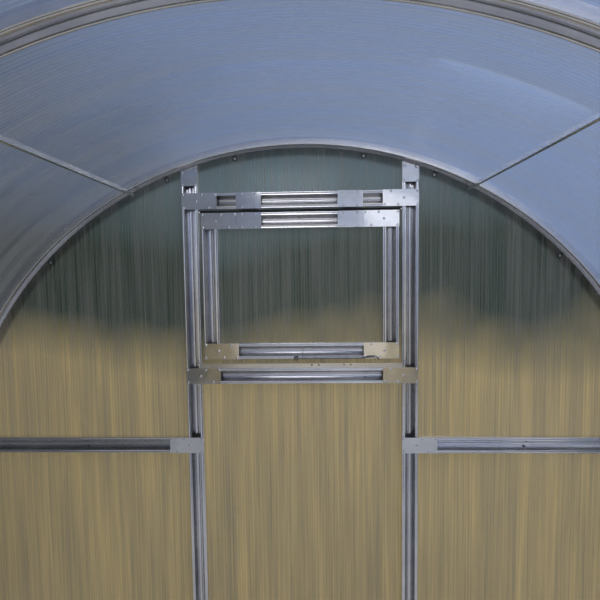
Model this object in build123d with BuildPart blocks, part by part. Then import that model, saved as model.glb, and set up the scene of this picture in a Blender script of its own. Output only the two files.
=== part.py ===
"""Arched polycarbonate greenhouse on a galvanised lipped channel frame.

Millimetres. The origin is on the ground under the middle of the house. +Y points to the back
end, the one with the vent window, +X to the right as seen from inside looking at that end, and
+Z up. Two ends, the back and the front, are built from the same values: side +1 is the back
end and side -1 the front.
"""

from build123d import *
import math
import os

os.makedirs("parts", exist_ok=True)

# House
house_width = 3000
leg_height = 600
bay_length = 1000
bay_count = 4

# Rolled lipped channel of the arches, posts and rails
section_width = 65
section_depth = 27
section_lip = 12
section_wall = 1
rib_count = 2
rib_pitch = 12
rib_foot = 8
rib_height = 3

# Twin wall sheets
sheet_thickness = 4
sheet_lap = 50
sheet_joggle = 12
roof_overhang = 33
sheet_ground_gap = 15
sheet_joint = 4

# Purlins, narrow plain channels under the arches
purlin_width = 8
purlin_depth = 20
purlin_wall = 1
purlin_angle = 27.2
purlin_overrun = 3

# End frames
post_spacing = 880
top_rail_drop = 95
side_rail_rise = 300
leaf_side_gap = 12
leaf_end_gap = 15

# Vent window in the back end, door in the front end
vent_height = 593
sill_gap = 37
sill_strip_height = 18
sill_strip_leg = 20
sill_strip_wall = 1.2
sill_hole = 9
sill_hole_drop = 6
sill_hole_pitch = 28
sill_hole_pair_pitch = 130
sill_hole_offset = 122

# Flat joint plates over the open side of the channels
plate_thickness = 1.5
plate_length = 142
hinge_plate_length = 100
plate_seam = 1
post_plate_height = 72
post_plate_arch_gap = 5
post_plate_slit = 4
post_plate_slit_depth = 14
post_plate_slit_inset = 13

# Clips that hold the end sheets to the end arches
clip_angles = (10.2, 21.6, 45.1)
clip_width = 10
clip_reach = 18
clip_wall = 1.2

# Hinges and handle
hinge_width = 60
hinge_leaf_height = 30
hinge_leaf_thickness = 2
hinge_knuckle_radius = 4
vent_hinge_spacing = 408
door_hinge_inset = 220
handle_rise = 100
handle_length = 180
handle_foot = 22
handle_slant = 10
handle_width = 20
handle_thickness = 3
handle_stand_off = 22

# Vent stay hook
hook_radius = 2.5
hook_length = 338
hook_eye_radius = 8
hook_tip_drop = 9
hook_height_in_rail = 3
hook_left = -20
hook_pin_radius = 2.2
hook_pin_head = 1

# Clearance where a straight end meets the curved arch
arch_clearance = 0.3

# Sides of the small round pieces and holes
small_round_sides = 8

# Worked out
arch_radius = house_width / 2
arch_inner_radius = arch_radius - section_depth
arch_count = bay_count + 1
end_arch_y = bay_length * bay_count / 2
frame_face_y = end_arch_y + section_width / 2
frame_lip_y = frame_face_y - section_depth
plate_face_y = frame_lip_y - plate_thickness
sheet_face_y = frame_face_y + sheet_thickness
post_x = post_spacing / 2
post_inner_x = post_x - section_width / 2
post_outer_x = post_x + section_width / 2
leaf_half_width = post_inner_x - leaf_side_gap
leaf_stile_x = leaf_half_width - section_width / 2
top_rail_height = leg_height + math.sqrt(arch_inner_radius**2 - post_outer_x**2) - top_rail_drop
side_rail_height = leg_height + side_rail_rise
leaf_top = top_rail_height - section_width - leaf_end_gap
hinge_line_z = leaf_top + leaf_end_gap / 2
vent_bottom = leaf_top - vent_height
sill_rail_height = vent_bottom - sill_gap
door_bottom = section_width + leaf_end_gap
door_hinge_x = -(post_inner_x - leaf_side_gap / 2)
hinge_plate_far = leaf_half_width - plate_length - plate_seam
hinge_plate_near = hinge_plate_far - hinge_plate_length
post_plate_radius = arch_inner_radius - post_plate_arch_gap
post_plate_top = leg_height + math.sqrt(post_plate_radius**2 - post_x**2)
frame_reach = frame_face_y + roof_overhang

UP = (0, 0, 1)
ALONG_X = (1, 0, 0)
ALONG_Y = (0, 1, 0)


def save(part, name):
    """Label a finished piece and write its file."""
    part.label = name
    export_step(part, f"parts/{name}.step")


def rib_points(level, order):
    """Points of the pressed ribs on one face of the web, at the given level."""
    points = []
    first = -(rib_count - 1) / 2 * rib_pitch
    for number in range(rib_count):
        centre = first + number * rib_pitch
        points.append((centre - rib_foot / 2, level))
        points.append((centre, level + rib_height))
        points.append((centre + rib_foot / 2, level))
    return points[::order]


def channel_outline(ribbed):
    """Outline of the channel: web on y = 0, centred on x, open towards +y, lips drawn to an edge."""
    half = section_width / 2
    wall = section_wall
    outer_ribs = rib_points(0, 1) if ribbed else []
    inner_ribs = rib_points(wall, -1) if ribbed else []
    right_arm = [
        (half, 0),
        (half, section_depth),
        (half - section_lip, section_depth),
        (half - wall, section_depth - wall),
        (half - wall, wall),
    ]
    left_arm = [(-x, y) for x, y in reversed(right_arm)]
    return outer_ribs + right_arm + inner_ribs + left_arm


def add_channel(start, along, opening, length, ribbed=True):
    """Add a straight channel: start is the middle of its web's outer face."""
    across = Vector(opening).cross(Vector(along))
    with BuildSketch(Plane(origin=start, x_dir=across, z_dir=along)) as section:
        with BuildLine():
            Polyline(*channel_outline(ribbed), close=True)
        make_face()
    extrude(section.sketch, amount=length)


def add_upright_block(x_range, z_range, y_range):
    """Add a block between two x, two z and two y values, in either order of y."""
    with BuildSketch(Plane.XZ.offset(-y_range[0])) as face:
        with Locations((sum(x_range) / 2, sum(z_range) / 2)):
            Rectangle(x_range[1] - x_range[0], z_range[1] - z_range[0])
    extrude(face.sketch, amount=y_range[0] - y_range[1])


def house_section(radius, bottom, y):
    """Half circle on two straight legs, as a sketch on the upright plane at y."""
    with BuildSketch(Plane.XZ.offset(-y)) as outline:
        with BuildLine():
            Polyline((-radius, leg_height), (-radius, bottom), (radius, bottom), (radius, leg_height))
            ThreePointArc((radius, leg_height), (0, leg_height + radius), (-radius, leg_height))
        make_face()
    return outline.sketch


def keep_inside_house(radius, bottom=0):
    """Cut what was added so far to the arched outline of the given radius."""
    extrude(house_section(radius, bottom, -frame_reach), amount=-2 * frame_reach, mode=Mode.INTERSECT)


def arch_point_over(x):
    """Point just inside the arch, above or below the given x on an upright plane."""
    return (x, leg_height + math.sqrt((arch_inner_radius - arch_clearance) ** 2 - x**2))


def arch_point_beside(z, side_x):
    """Point just inside the arch, to one side at the given height."""
    reach = math.sqrt((arch_inner_radius - arch_clearance) ** 2 - (z - leg_height) ** 2)
    return (side_x * reach, z)


def keep_inside_outline(points):
    """Cut what was added so far to a straight-sided outline on the upright plane."""
    with BuildSketch(Plane.XZ.offset(frame_reach)) as outline:
        with BuildLine():
            Polyline(*points, close=True)
        make_face()
    extrude(outline.sketch, amount=-2 * frame_reach, mode=Mode.INTERSECT)


def sweep_over_arch(outline, bottom):
    """Sweep a section, drawn as (radius, y) points, up one leg, over the arch and down the other."""
    with BuildSketch(Plane.XY.offset(leg_height)) as section:
        with BuildLine():
            Polyline(*outline, close=True)
        make_face()
    extrude(section.sketch, amount=bottom - leg_height)
    mirror(about=Plane.YZ)
    revolve(section.sketch, axis=Axis((0, 0, leg_height), (0, -1, 0)), revolution_arc=180)


# Arches: the plain channel with its web on the outside, bent to a half circle on two legs
for number in range(arch_count):
    arch_y = number * bay_length - end_arch_y
    arch_section = [(arch_radius - y, arch_y + x) for x, y in channel_outline(ribbed=False)]
    with BuildPart() as arch:
        sweep_over_arch(arch_section, 0)
    save(arch.part, f"arch_{number + 1}")

# Roof sheets: the front one is joggled to lap over the back one at the middle of the house
roof_end_y = frame_face_y + roof_overhang
lap_half = sheet_lap / 2
sheet_outer_radius = arch_radius + sheet_thickness
lap_outer_radius = sheet_outer_radius + sheet_thickness

with BuildPart() as roof_sheet_back:
    sweep_over_arch(
        [
            (arch_radius, -lap_half),
            (sheet_outer_radius, -lap_half),
            (sheet_outer_radius, roof_end_y),
            (arch_radius, roof_end_y),
        ],
        sheet_ground_gap,
    )
save(roof_sheet_back.part, "roof_sheet_back")

joggle_start = -lap_half - sheet_joint - sheet_joggle
joggle_end = -lap_half - sheet_joint
with BuildPart() as roof_sheet_front:
    sweep_over_arch(
        [
            (arch_radius, -roof_end_y),
            (sheet_outer_radius, -roof_end_y),
            (sheet_outer_radius, joggle_start),
            (lap_outer_radius, joggle_end),
            (lap_outer_radius, lap_half),
            (sheet_outer_radius, lap_half),
            (sheet_outer_radius, joggle_end),
            (arch_radius, joggle_start),
        ],
        sheet_ground_gap,
    )
save(roof_sheet_front.part, "roof_sheet_front")


def add_purlin(angle):
    """Add a purlin under the arches at an angle from the crown, open side to the arches."""
    seat_radius = math.sqrt((arch_inner_radius - arch_clearance) ** 2 - (purlin_width / 2) ** 2)
    turn = math.radians(angle)
    outwards = Vector(math.sin(turn), 0, math.cos(turn))
    foot = Vector(0, 0, leg_height) + outwards * (seat_radius - purlin_depth)
    start = foot - Vector(0, end_arch_y + purlin_overrun, 0)
    across = outwards.cross(Vector(ALONG_Y))
    half = purlin_width / 2
    inner = half - purlin_wall
    with BuildSketch(Plane(origin=start, x_dir=across, z_dir=ALONG_Y)) as section:
        with BuildLine():
            Polyline(
                (-half, 0),
                (half, 0),
                (half, purlin_depth),
                (inner, purlin_depth),
                (inner, purlin_wall),
                (-inner, purlin_wall),
                (-inner, purlin_depth),
                (-half, purlin_depth),
                close=True,
            )
        make_face()
    extrude(section.sketch, amount=2 * (end_arch_y + purlin_overrun))


with BuildPart() as upper_purlins:
    add_purlin(-purlin_angle)
    add_purlin(purlin_angle)
save(upper_purlins.part, "upper_purlins")

side_purlin_rise = side_rail_height - section_width / 2 - leg_height
side_purlin_angle = 90 - math.degrees(math.asin(side_purlin_rise / arch_inner_radius))
with BuildPart() as side_purlins:
    add_purlin(-side_purlin_angle)
    add_purlin(side_purlin_angle)
save(side_purlins.part, "side_purlins")

# Base rails along both sides, one between each two arches
rail_half = section_width / 2
side_base_length = bay_length - section_width
for side_name, side_x in (("left", -1), ("right", 1)):
    with BuildPart() as base_rails:
        for bay in range(bay_count):
            start = (side_x * arch_radius, bay * bay_length - end_arch_y + rail_half, rail_half)
            add_channel(start, ALONG_Y, (-side_x, 0, 0), side_base_length, ribbed=False)
    save(base_rails.part, f"base_rails_{side_name}")

# Joint plates of the base rails over the foot of each arch
with BuildPart() as base_plates:
    reach = plate_length - section_width
    for side_x in (-1, 1):
        for number in range(arch_count):
            arch_y = number * bay_length - end_arch_y
            low_y = arch_y - section_width / 2 - reach if number > 0 else -plate_face_y
            high_y = arch_y + section_width / 2 + reach if number < bay_count else plate_face_y
            x_range = sorted((side_x * arch_inner_radius, side_x * (arch_inner_radius - plate_thickness)))
            add_upright_block(x_range, (0, section_width), (low_y, high_y))
save(base_plates.part, "base_plates")


def add_rail(x_range, top, side, ribbed=True):
    """Add a rail of an end frame between two x values, its top edge at the given height."""
    start = (x_range[0], side * frame_face_y, top - rail_half)
    add_channel(start, ALONG_X, (0, -side, 0), x_range[1] - x_range[0], ribbed)


def add_post(x, z_range, side):
    """Add an upright of an end frame or of a leaf between two heights."""
    add_channel((x, side * frame_face_y, z_range[0]), UP, (0, -side, 0), z_range[1] - z_range[0])


def add_plate(x_range, top, side):
    """Add a flat joint plate as high as the channel is wide, over the lips."""
    y_range = (side * plate_face_y, side * frame_lip_y)
    add_upright_block(x_range, (top - section_width, top), y_range)


def add_mirrored_plates(near, far, top, side):
    """Add the same joint plate on the left and on the right."""
    add_plate((-far, -near), top, side)
    add_plate((near, far), top, side)


def build_end_frame(name, side):
    """Build the posts, top rail, side rails and base rails that both ends have."""
    with BuildPart() as posts:
        add_post(-post_x, (0, leg_height + arch_radius), side)
        add_post(post_x, (0, leg_height + arch_radius), side)
        tops = [arch_point_over(x) for x in (post_outer_x, post_inner_x, -post_inner_x, -post_outer_x)]
        keep_inside_outline([(-post_outer_x, 0), (post_outer_x, 0), *tops])
    save(posts.part, f"{name}_posts")

    with BuildPart() as top_rail:
        add_rail((-post_inner_x, post_inner_x), top_rail_height, side)
    save(top_rail.part, f"{name}_top_rail")

    with BuildPart() as side_rails:
        add_rail((-arch_radius, -post_outer_x), side_rail_height, side)
        add_rail((post_outer_x, arch_radius), side_rail_height, side)
        rail_bottom = side_rail_height - section_width
        lower = [arch_point_beside(rail_bottom, side_x) for side_x in (-1, 1)]
        upper = [arch_point_beside(side_rail_height, side_x) for side_x in (1, -1)]
        keep_inside_outline(lower + upper)
    save(side_rails.part, f"{name}_side_rails")

    with BuildPart() as end_base_rails:
        add_rail((-arch_inner_radius, -post_outer_x), section_width, side, ribbed=False)
        add_rail((-post_inner_x, post_inner_x), section_width, side, ribbed=False)
        add_rail((post_outer_x, arch_inner_radius), section_width, side, ribbed=False)
    save(end_base_rails.part, f"base_rails_{name}")


build_end_frame("back", 1)
build_end_frame("front", -1)

with BuildPart() as back_sill_rail:
    add_rail((-post_inner_x, post_inner_x), sill_rail_height, 1)
save(back_sill_rail.part, "back_sill_rail")

# Sill strip: an angle on the rail under the vent, its upright leg pierced for the stay hook
with BuildPart() as sill_strip:
    strip_bottom = sill_rail_height
    strip_top = strip_bottom + sill_strip_height
    strip_x = (-post_inner_x, post_inner_x)
    add_upright_block(strip_x, (strip_bottom, strip_top), (frame_lip_y, frame_lip_y + sill_strip_wall))
    add_upright_block(
        strip_x, (strip_bottom, strip_bottom + sill_strip_wall), (frame_lip_y, frame_lip_y + sill_strip_leg)
    )
    with BuildSketch(Plane.XZ.offset(-frame_lip_y)):
        for pair in (-1, 1):
            pair_x = sill_hole_offset + pair * sill_hole_pair_pitch / 2
            for half in (-1, 1):
                with Locations((pair_x + half * sill_hole_pitch / 2, strip_top - sill_hole_drop)):
                    RegularPolygon(sill_hole / 2, small_round_sides)
    extrude(amount=-sill_strip_wall, mode=Mode.SUBTRACT)
save(sill_strip.part, "sill_strip")


def build_leaf(name, side, bottom, rail_tops):
    """Build the stiles and rails of a leaf that hangs between the posts under the top rail."""
    with BuildPart() as stiles:
        add_post(-leaf_stile_x, (bottom, leaf_top), side)
        add_post(leaf_stile_x, (bottom, leaf_top), side)
    save(stiles.part, f"{name}_stiles")
    with BuildPart() as rails:
        rail_end = leaf_half_width - section_width
        for top in rail_tops:
            add_rail((-rail_end, rail_end), top, side)
    save(rails.part, f"{name}_rails")
    with BuildPart() as plates:
        for top in rail_tops:
            add_mirrored_plates(leaf_half_width - plate_length, leaf_half_width, top, side)
        if name == "vent":
            add_mirrored_plates(hinge_plate_near, hinge_plate_far, leaf_top, side)
    save(plates.part, f"{name}_plates")


build_leaf("vent", 1, vent_bottom, (vent_bottom + section_width, leaf_top))
build_leaf("door", -1, door_bottom, (door_bottom + section_width, side_rail_height, leaf_top))


def add_post_plate(side_x, side):
    """Add the plate at a post's top, left long so that it can be cut to the arch."""
    x_range = sorted((side_x * post_inner_x, side_x * post_outer_x))
    z_range = (post_plate_top - post_plate_height, leg_height + arch_radius)
    add_upright_block(x_range, z_range, (side * plate_face_y, side * frame_lip_y))


def build_frame_plates(name, side):
    """Build the joint plates of an end frame; the top ones follow the arch and have a slit."""
    with BuildPart() as plates:
        add_post_plate(-1, side)
        add_post_plate(1, side)
        keep_inside_house(post_plate_radius)
        with BuildSketch(Plane.XZ.offset(-side * frame_lip_y)):
            for side_x in (-1, 1):
                slit_x = side_x * (post_outer_x - post_plate_slit_inset)
                slit_z = leg_height + math.sqrt(post_plate_radius**2 - slit_x**2)
                with Locations((slit_x, slit_z)):
                    Rectangle(post_plate_slit, 2 * post_plate_slit_depth)
        extrude(amount=side * plate_thickness, mode=Mode.SUBTRACT)
        add_mirrored_plates(post_outer_x - plate_length, post_outer_x, top_rail_height, side)
        rail_plate_far = post_inner_x + plate_length
        add_mirrored_plates(post_inner_x, rail_plate_far, side_rail_height, side)
        base_reach = plate_length - section_width
        add_mirrored_plates(post_inner_x - base_reach, post_outer_x + base_reach, section_width, side)
        if name == "back":
            add_mirrored_plates(post_outer_x - plate_length, post_outer_x, sill_rail_height, side)
            add_mirrored_plates(hinge_plate_near, hinge_plate_far, top_rail_height, side)
    save(plates.part, f"{name}_frame_plates")


build_frame_plates("back", 1)
build_frame_plates("front", -1)


def build_sheet(name, x_range, z_range, side):
    """Build a flat sheet on the outside of an end frame, cut to the arched outline."""
    with BuildPart() as sheet:
        add_upright_block(x_range, z_range, (side * frame_face_y, side * sheet_face_y))
        keep_inside_house(arch_radius)
    save(sheet.part, name)


# End sheets, divided on the middle of the posts, and at a leaf's hinges in the gap beside it
joint_half = sheet_joint / 2
centre_x = post_x - joint_half
outer_x = post_x + joint_half
house_top = leg_height + arch_radius
full_height = (sheet_ground_gap, house_top)
sill_joint_z = sill_rail_height - section_width / 2
door_sheet_left = door_hinge_x + joint_half
for end_name, end_side, left_edge in (("back", 1, -outer_x), ("front", -1, door_hinge_x - joint_half)):
    build_sheet(f"{end_name}_sheet_left", (-arch_radius, left_edge), full_height, end_side)
    build_sheet(f"{end_name}_sheet_right", (outer_x, arch_radius), full_height, end_side)
    over_leaf = (hinge_line_z + joint_half, house_top)
    build_sheet(f"{end_name}_sheet_top", (left_edge + sheet_joint, centre_x), over_leaf, end_side)

build_sheet("back_sheet_bottom", (-centre_x, centre_x), (sheet_ground_gap, sill_joint_z - joint_half), 1)
build_sheet("vent_sheet", (-centre_x, centre_x), (sill_joint_z + joint_half, hinge_line_z - joint_half), 1)
build_sheet("door_sheet", (door_sheet_left, centre_x), (sheet_ground_gap, hinge_line_z - joint_half), -1)

# Hinges on the outside: the vent hangs from its top edge, the door from its left stile
knuckle_y = sheet_face_y + hinge_knuckle_radius
with BuildPart() as vent_hinges:
    for side_x in (-1, 1):
        hinge_x = side_x * vent_hinge_spacing / 2
        x_range = (hinge_x - hinge_width / 2, hinge_x + hinge_width / 2)
        z_range = (hinge_line_z - hinge_leaf_height, hinge_line_z + hinge_leaf_height)
        add_upright_block(x_range, z_range, (sheet_face_y, sheet_face_y + hinge_leaf_thickness))
        with BuildSketch(Plane.YZ.offset(x_range[0])):
            with Locations((knuckle_y, hinge_line_z)):
                RegularPolygon(hinge_knuckle_radius, small_round_sides)
        extrude(amount=hinge_width)
save(vent_hinges.part, "vent_hinges")

lowest_hinge_z = door_bottom + door_hinge_inset
highest_hinge_z = leaf_top - door_hinge_inset
with BuildPart() as door_hinges:
    for height in (lowest_hinge_z, (lowest_hinge_z + highest_hinge_z) / 2, highest_hinge_z):
        x_range = (door_hinge_x - hinge_leaf_height, door_hinge_x + hinge_leaf_height)
        z_range = (height - hinge_width / 2, height + hinge_width / 2)
        add_upright_block(x_range, z_range, (-sheet_face_y, -sheet_face_y - hinge_leaf_thickness))
        with BuildSketch(Plane.XY.offset(z_range[0])):
            with Locations((door_hinge_x, -knuckle_y)):
                RegularPolygon(hinge_knuckle_radius, small_round_sides)
        extrude(amount=hinge_width)
save(door_hinges.part, "door_hinges")

# Door handle: a flat bar bent to a grip on two feet, outlined from its upper foot to its middle
grip_half = handle_length / 2 - handle_slant
handle_outside = [
    (0, handle_length / 2 + handle_foot),
    (-handle_thickness, handle_length / 2 + handle_foot),
    (-handle_thickness, handle_length / 2),
    (-handle_stand_off, grip_half),
]
handle_inside = [
    (handle_thickness - handle_stand_off, grip_half - handle_thickness),
    (0, handle_length / 2 - handle_thickness),
]
lower_outside = [(y, -z) for y, z in reversed(handle_outside)]
lower_inside = [(y, -z) for y, z in reversed(handle_inside)]
with BuildPart() as door_handle:
    handle_start = (leaf_stile_x - handle_width / 2, -sheet_face_y, side_rail_height + handle_rise)
    with BuildSketch(Plane(origin=handle_start, x_dir=ALONG_Y, z_dir=ALONG_X)):
        with BuildLine():
            Polyline(*handle_outside, *lower_outside, *lower_inside, *handle_inside, close=True)
        make_face()
    extrude(amount=handle_width)
save(door_handle.part, "door_handle")

# Vent stay hook: a rod with an eye on a pin at its left end and a bent tip at its right
hook_y = plate_face_y - arch_clearance - hook_radius
hook_z = vent_bottom + hook_height_in_rail
hook_right = hook_left + hook_length
with BuildPart() as vent_hook:
    with BuildLine() as hook_path:
        Polyline(
            (hook_left + hook_eye_radius, hook_y, hook_z),
            (hook_right, hook_y, hook_z),
            (hook_right, hook_y, hook_z - hook_tip_drop),
        )
    with BuildSketch(Plane.YZ.offset(hook_left + hook_eye_radius)):
        with Locations((hook_y, hook_z)):
            RegularPolygon(hook_radius, small_round_sides)
    sweep(path=hook_path.wire(), transition=Transition.RIGHT)
    with BuildSketch(Plane.XZ.offset(-hook_y + hook_radius)):
        with Locations((hook_left, hook_z)):
            RegularPolygon(hook_eye_radius + hook_radius, small_round_sides)
            RegularPolygon(hook_pin_radius + arch_clearance, small_round_sides, mode=Mode.SUBTRACT)
    extrude(amount=-2 * hook_radius)
    with BuildSketch(Plane.XZ.offset(-frame_lip_y)):
        with Locations((hook_left, hook_z)):
            RegularPolygon(hook_pin_radius, small_round_sides)
    extrude(amount=frame_lip_y - hook_y + hook_radius + hook_pin_head)
save(vent_hook.part, "vent_hook")


def build_clips(name, side):
    """Build the small angle clips between an end arch's outer lip and its sheet."""
    clip_seat_radius = math.sqrt((arch_inner_radius - arch_clearance) ** 2 - (clip_width / 2) ** 2)
    with BuildPart() as clips:
        for angle in clip_angles:
            for side_x in (-1, 1):
                turn = math.radians(side_x * angle)
                outwards = Vector(math.sin(turn), 0, math.cos(turn))
                across = Vector(math.cos(turn), 0, -math.sin(turn))
                seat = Vector(0, side * frame_face_y, leg_height) + outwards * clip_seat_radius
                start = seat - across * (clip_width / 2)
                with BuildSketch(Plane(origin=start, x_dir=-outwards, z_dir=across)):
                    with BuildLine():
                        Polyline(
                            (0, 0),
                            (0, -side * section_lip),
                            (clip_wall, -side * section_lip),
                            (clip_wall, -side * clip_wall),
                            (clip_reach, -side * clip_wall),
                            (clip_reach, 0),
                            close=True,
                        )
                    make_face()
                extrude(amount=clip_width)
    save(clips.part, f"{name}_sheet_clips")


build_clips("back", 1)
build_clips("front", -1)
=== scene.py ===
"""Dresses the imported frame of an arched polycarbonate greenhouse.

Metres, in the frame of the solids: the origin is on the ground under the middle of the house, +Y
points to the end with the vent window, +X to the right of someone inside who looks at that end,
and +Z up. The channel, which the solids outline with sharp corners, is rolled again here with
its bends, ribs and grooved lips. Rivets, screws, washers, hinges, stay and handle are modelled.
"""

import logging
import math
from collections.abc import Callable, Iterator, Mapping, Sequence
from contextlib import contextmanager
from dataclasses import dataclass, field, replace
from enum import Enum
from functools import partial

import bmesh
import bpy
from mathutils import Matrix, Vector


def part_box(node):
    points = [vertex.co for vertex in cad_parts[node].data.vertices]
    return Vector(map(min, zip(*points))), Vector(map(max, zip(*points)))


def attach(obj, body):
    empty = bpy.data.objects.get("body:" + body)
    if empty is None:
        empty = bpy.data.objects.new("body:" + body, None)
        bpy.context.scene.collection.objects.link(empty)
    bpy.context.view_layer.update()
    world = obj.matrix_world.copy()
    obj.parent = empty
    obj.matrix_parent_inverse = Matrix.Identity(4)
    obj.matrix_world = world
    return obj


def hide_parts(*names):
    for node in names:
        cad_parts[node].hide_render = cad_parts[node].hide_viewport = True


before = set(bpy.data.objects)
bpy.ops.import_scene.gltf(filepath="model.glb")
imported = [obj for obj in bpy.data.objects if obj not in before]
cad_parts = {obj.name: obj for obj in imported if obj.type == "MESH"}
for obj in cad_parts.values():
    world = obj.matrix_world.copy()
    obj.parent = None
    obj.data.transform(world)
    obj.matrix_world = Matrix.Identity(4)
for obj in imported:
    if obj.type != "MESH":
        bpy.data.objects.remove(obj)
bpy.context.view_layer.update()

LOG = logging.getLogger("greenhouse")
BODY = "root"
CHANNEL_SLOT = "galvanised_channel"
FITTING_SLOT = "zinc_fittings"

Point = tuple[float, float]
Place = tuple[float, float, float]
Piece = bpy.types.Object
AddNode = Callable[..., bpy.types.Node]
UP = Vector((0, 0, 1))
ALONG_X = Vector((1, 0, 0))
ALONG_Y = Vector((0, 1, 0))
TOUCH = 1e-5  # Places closer than this are the same


class End(Enum):
    """The two ends of the house, by the sign of their place on Y."""

    BACK = 1
    FRONT = -1

    @property
    def label(self) -> str:
        """Name of the end in the nodes' names."""
        return self.name.lower()

    @property
    def inwards(self) -> Vector:
        """Direction from this end to the middle of the house."""
        return Vector((0, -self.value, 0))


class Flutes(Enum):
    """Which way the flutes of a twin wall sheet run, by the axis that their pattern varies on."""

    ROUND_THE_ARCH = "Y"
    UPRIGHT = "X"


class Element(Enum):
    """What is selected in a mesh, by the name of its sequence."""

    VERT = "verts"
    EDGE = "edges"
    FACE = "faces"


@dataclass(frozen=True)
class House:
    """Sizes that the sub-assemblies share, as the solids have them."""

    arch_radius: float = 1.5
    leg_height: float = 0.6
    bay_length: float = 1.0
    bay_count: int = 4
    channel_width: float = 0.065
    channel_depth: float = 0.027
    post_x: float = 0.44
    leaf_side: float = 0.3955
    sheet: float = 0.004
    plate: float = 0.0015
    plate_length: float = 0.142

    @property
    def half_width(self) -> float:
        """Half of the channel's width."""
        return self.channel_width / 2

    @property
    def end_arch_y(self) -> float:
        """Place of the end arches on Y."""
        return self.bay_length * self.bay_count / 2

    @property
    def face_y(self) -> float:
        """Outer face of an end frame, where its sheet lies."""
        return self.end_arch_y + self.half_width

    @property
    def lip_y(self) -> float:
        """Face of the channel's lips in an end frame."""
        return self.face_y - self.channel_depth

    @property
    def plate_y(self) -> float:
        """Inner face of the joint plates of an end frame."""
        return self.lip_y - self.plate

    @property
    def sheet_y(self) -> float:
        """Outer face of an end sheet."""
        return self.face_y + self.sheet

    @property
    def inner_radius(self) -> float:
        """Radius of the arches' lips."""
        return self.arch_radius - self.channel_depth

    @property
    def post_inner(self) -> float:
        """Edge of a post that faces the other one."""
        return self.post_x - self.half_width

    @property
    def post_outer(self) -> float:
        """Edge of a post that faces the side of the house."""
        return self.post_x + self.half_width

    def arch_places(self) -> list[float]:
        """Places of the arches on Y."""
        return [number * self.bay_length - self.end_arch_y for number in range(self.bay_count + 1)]

    def outwards(self, degrees: float) -> Vector:
        """Direction from the arches' middle at an angle from the crown."""
        return Vector((math.sin(math.radians(degrees)), 0, math.cos(math.radians(degrees))))

    def on_arch(self, degrees: float, radius: float, y: float) -> Vector:
        """Place at an angle from the crown and a distance from the arches' middle."""
        return Vector((0, y, self.leg_height)) + self.outwards(degrees) * radius


HOUSE = House()


def top_of(node: str) -> float:
    """Height of a node's highest point."""
    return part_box(node)[1].z


def bottom_of(node: str) -> float:
    """Height of a node's lowest point."""
    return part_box(node)[0].z


# Colours and materials


def linear(colour: str) -> tuple[float, float, float, float]:
    """Turn an sRGB hex colour into Blender's linear RGBA.

    Args:
        colour: Six hex digits.

    Returns:
        Red, green, blue and an alpha of 1.
    """
    levels = [int(colour[start : start + 2], 16) / 255 for start in (0, 2, 4)]
    red, green, blue = [
        level / 12.92 if level <= 0.04045 else ((level + 0.055) / 1.055) ** 2.4 for level in levels
    ]
    return red, green, blue, 1.0


def add_node(
    tree: bpy.types.NodeTree,
    kind: str,
    inputs: Mapping[str | int, object] | Sequence[object] = (),
    **settings: object,
) -> bpy.types.Node:
    """Add a shader node with its settings and links.

    Args:
        tree: Node tree that gets the node.
        kind: Type of the node, as Blender names it after ShaderNode.
        inputs: By the name or number of the input, or in order, a value, a socket to link
            from, or a node to link from by its first output.
        settings: Attributes of the node.

    Returns:
        The new node.
    """
    node = tree.nodes.new("ShaderNode" + kind)
    for name, value in settings.items():
        setattr(node, name, value)
    for name, value in inputs.items() if isinstance(inputs, Mapping) else enumerate(inputs):
        source = value.outputs[0] if isinstance(value, bpy.types.Node) else value
        if isinstance(source, bpy.types.NodeSocket):
            tree.links.new(source, node.inputs[name])
        else:
            node.inputs[name].default_value = source
    return node


def open_nodes(owner: bpy.types.Material | bpy.types.World) -> AddNode:
    """Empty the node tree of a material or a world.

    Args:
        owner: The material or the world.

    Returns:
        A function that adds a node to its tree.
    """
    owner.use_nodes = True
    owner.node_tree.nodes.clear()
    return partial(add_node, owner.node_tree)


def begin_material(
    name: str, on_strip: bool = False
) -> tuple[bpy.types.Material, AddNode, bpy.types.NodeSocket]:
    """Begin a material.

    Args:
        name: Name of the material.
        on_strip: Whether its pattern follows the strip's own map, not the object's coordinates.

    Returns:
        The material, a function that adds a node to it, and the coordinates of its pattern.
    """
    material = bpy.data.materials.new(name)
    add = open_nodes(material)
    if on_strip:
        return material, add, add("UVMap", uv_map="strip").outputs["UV"]
    return material, add, add("TexCoord").outputs["Object"]


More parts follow.
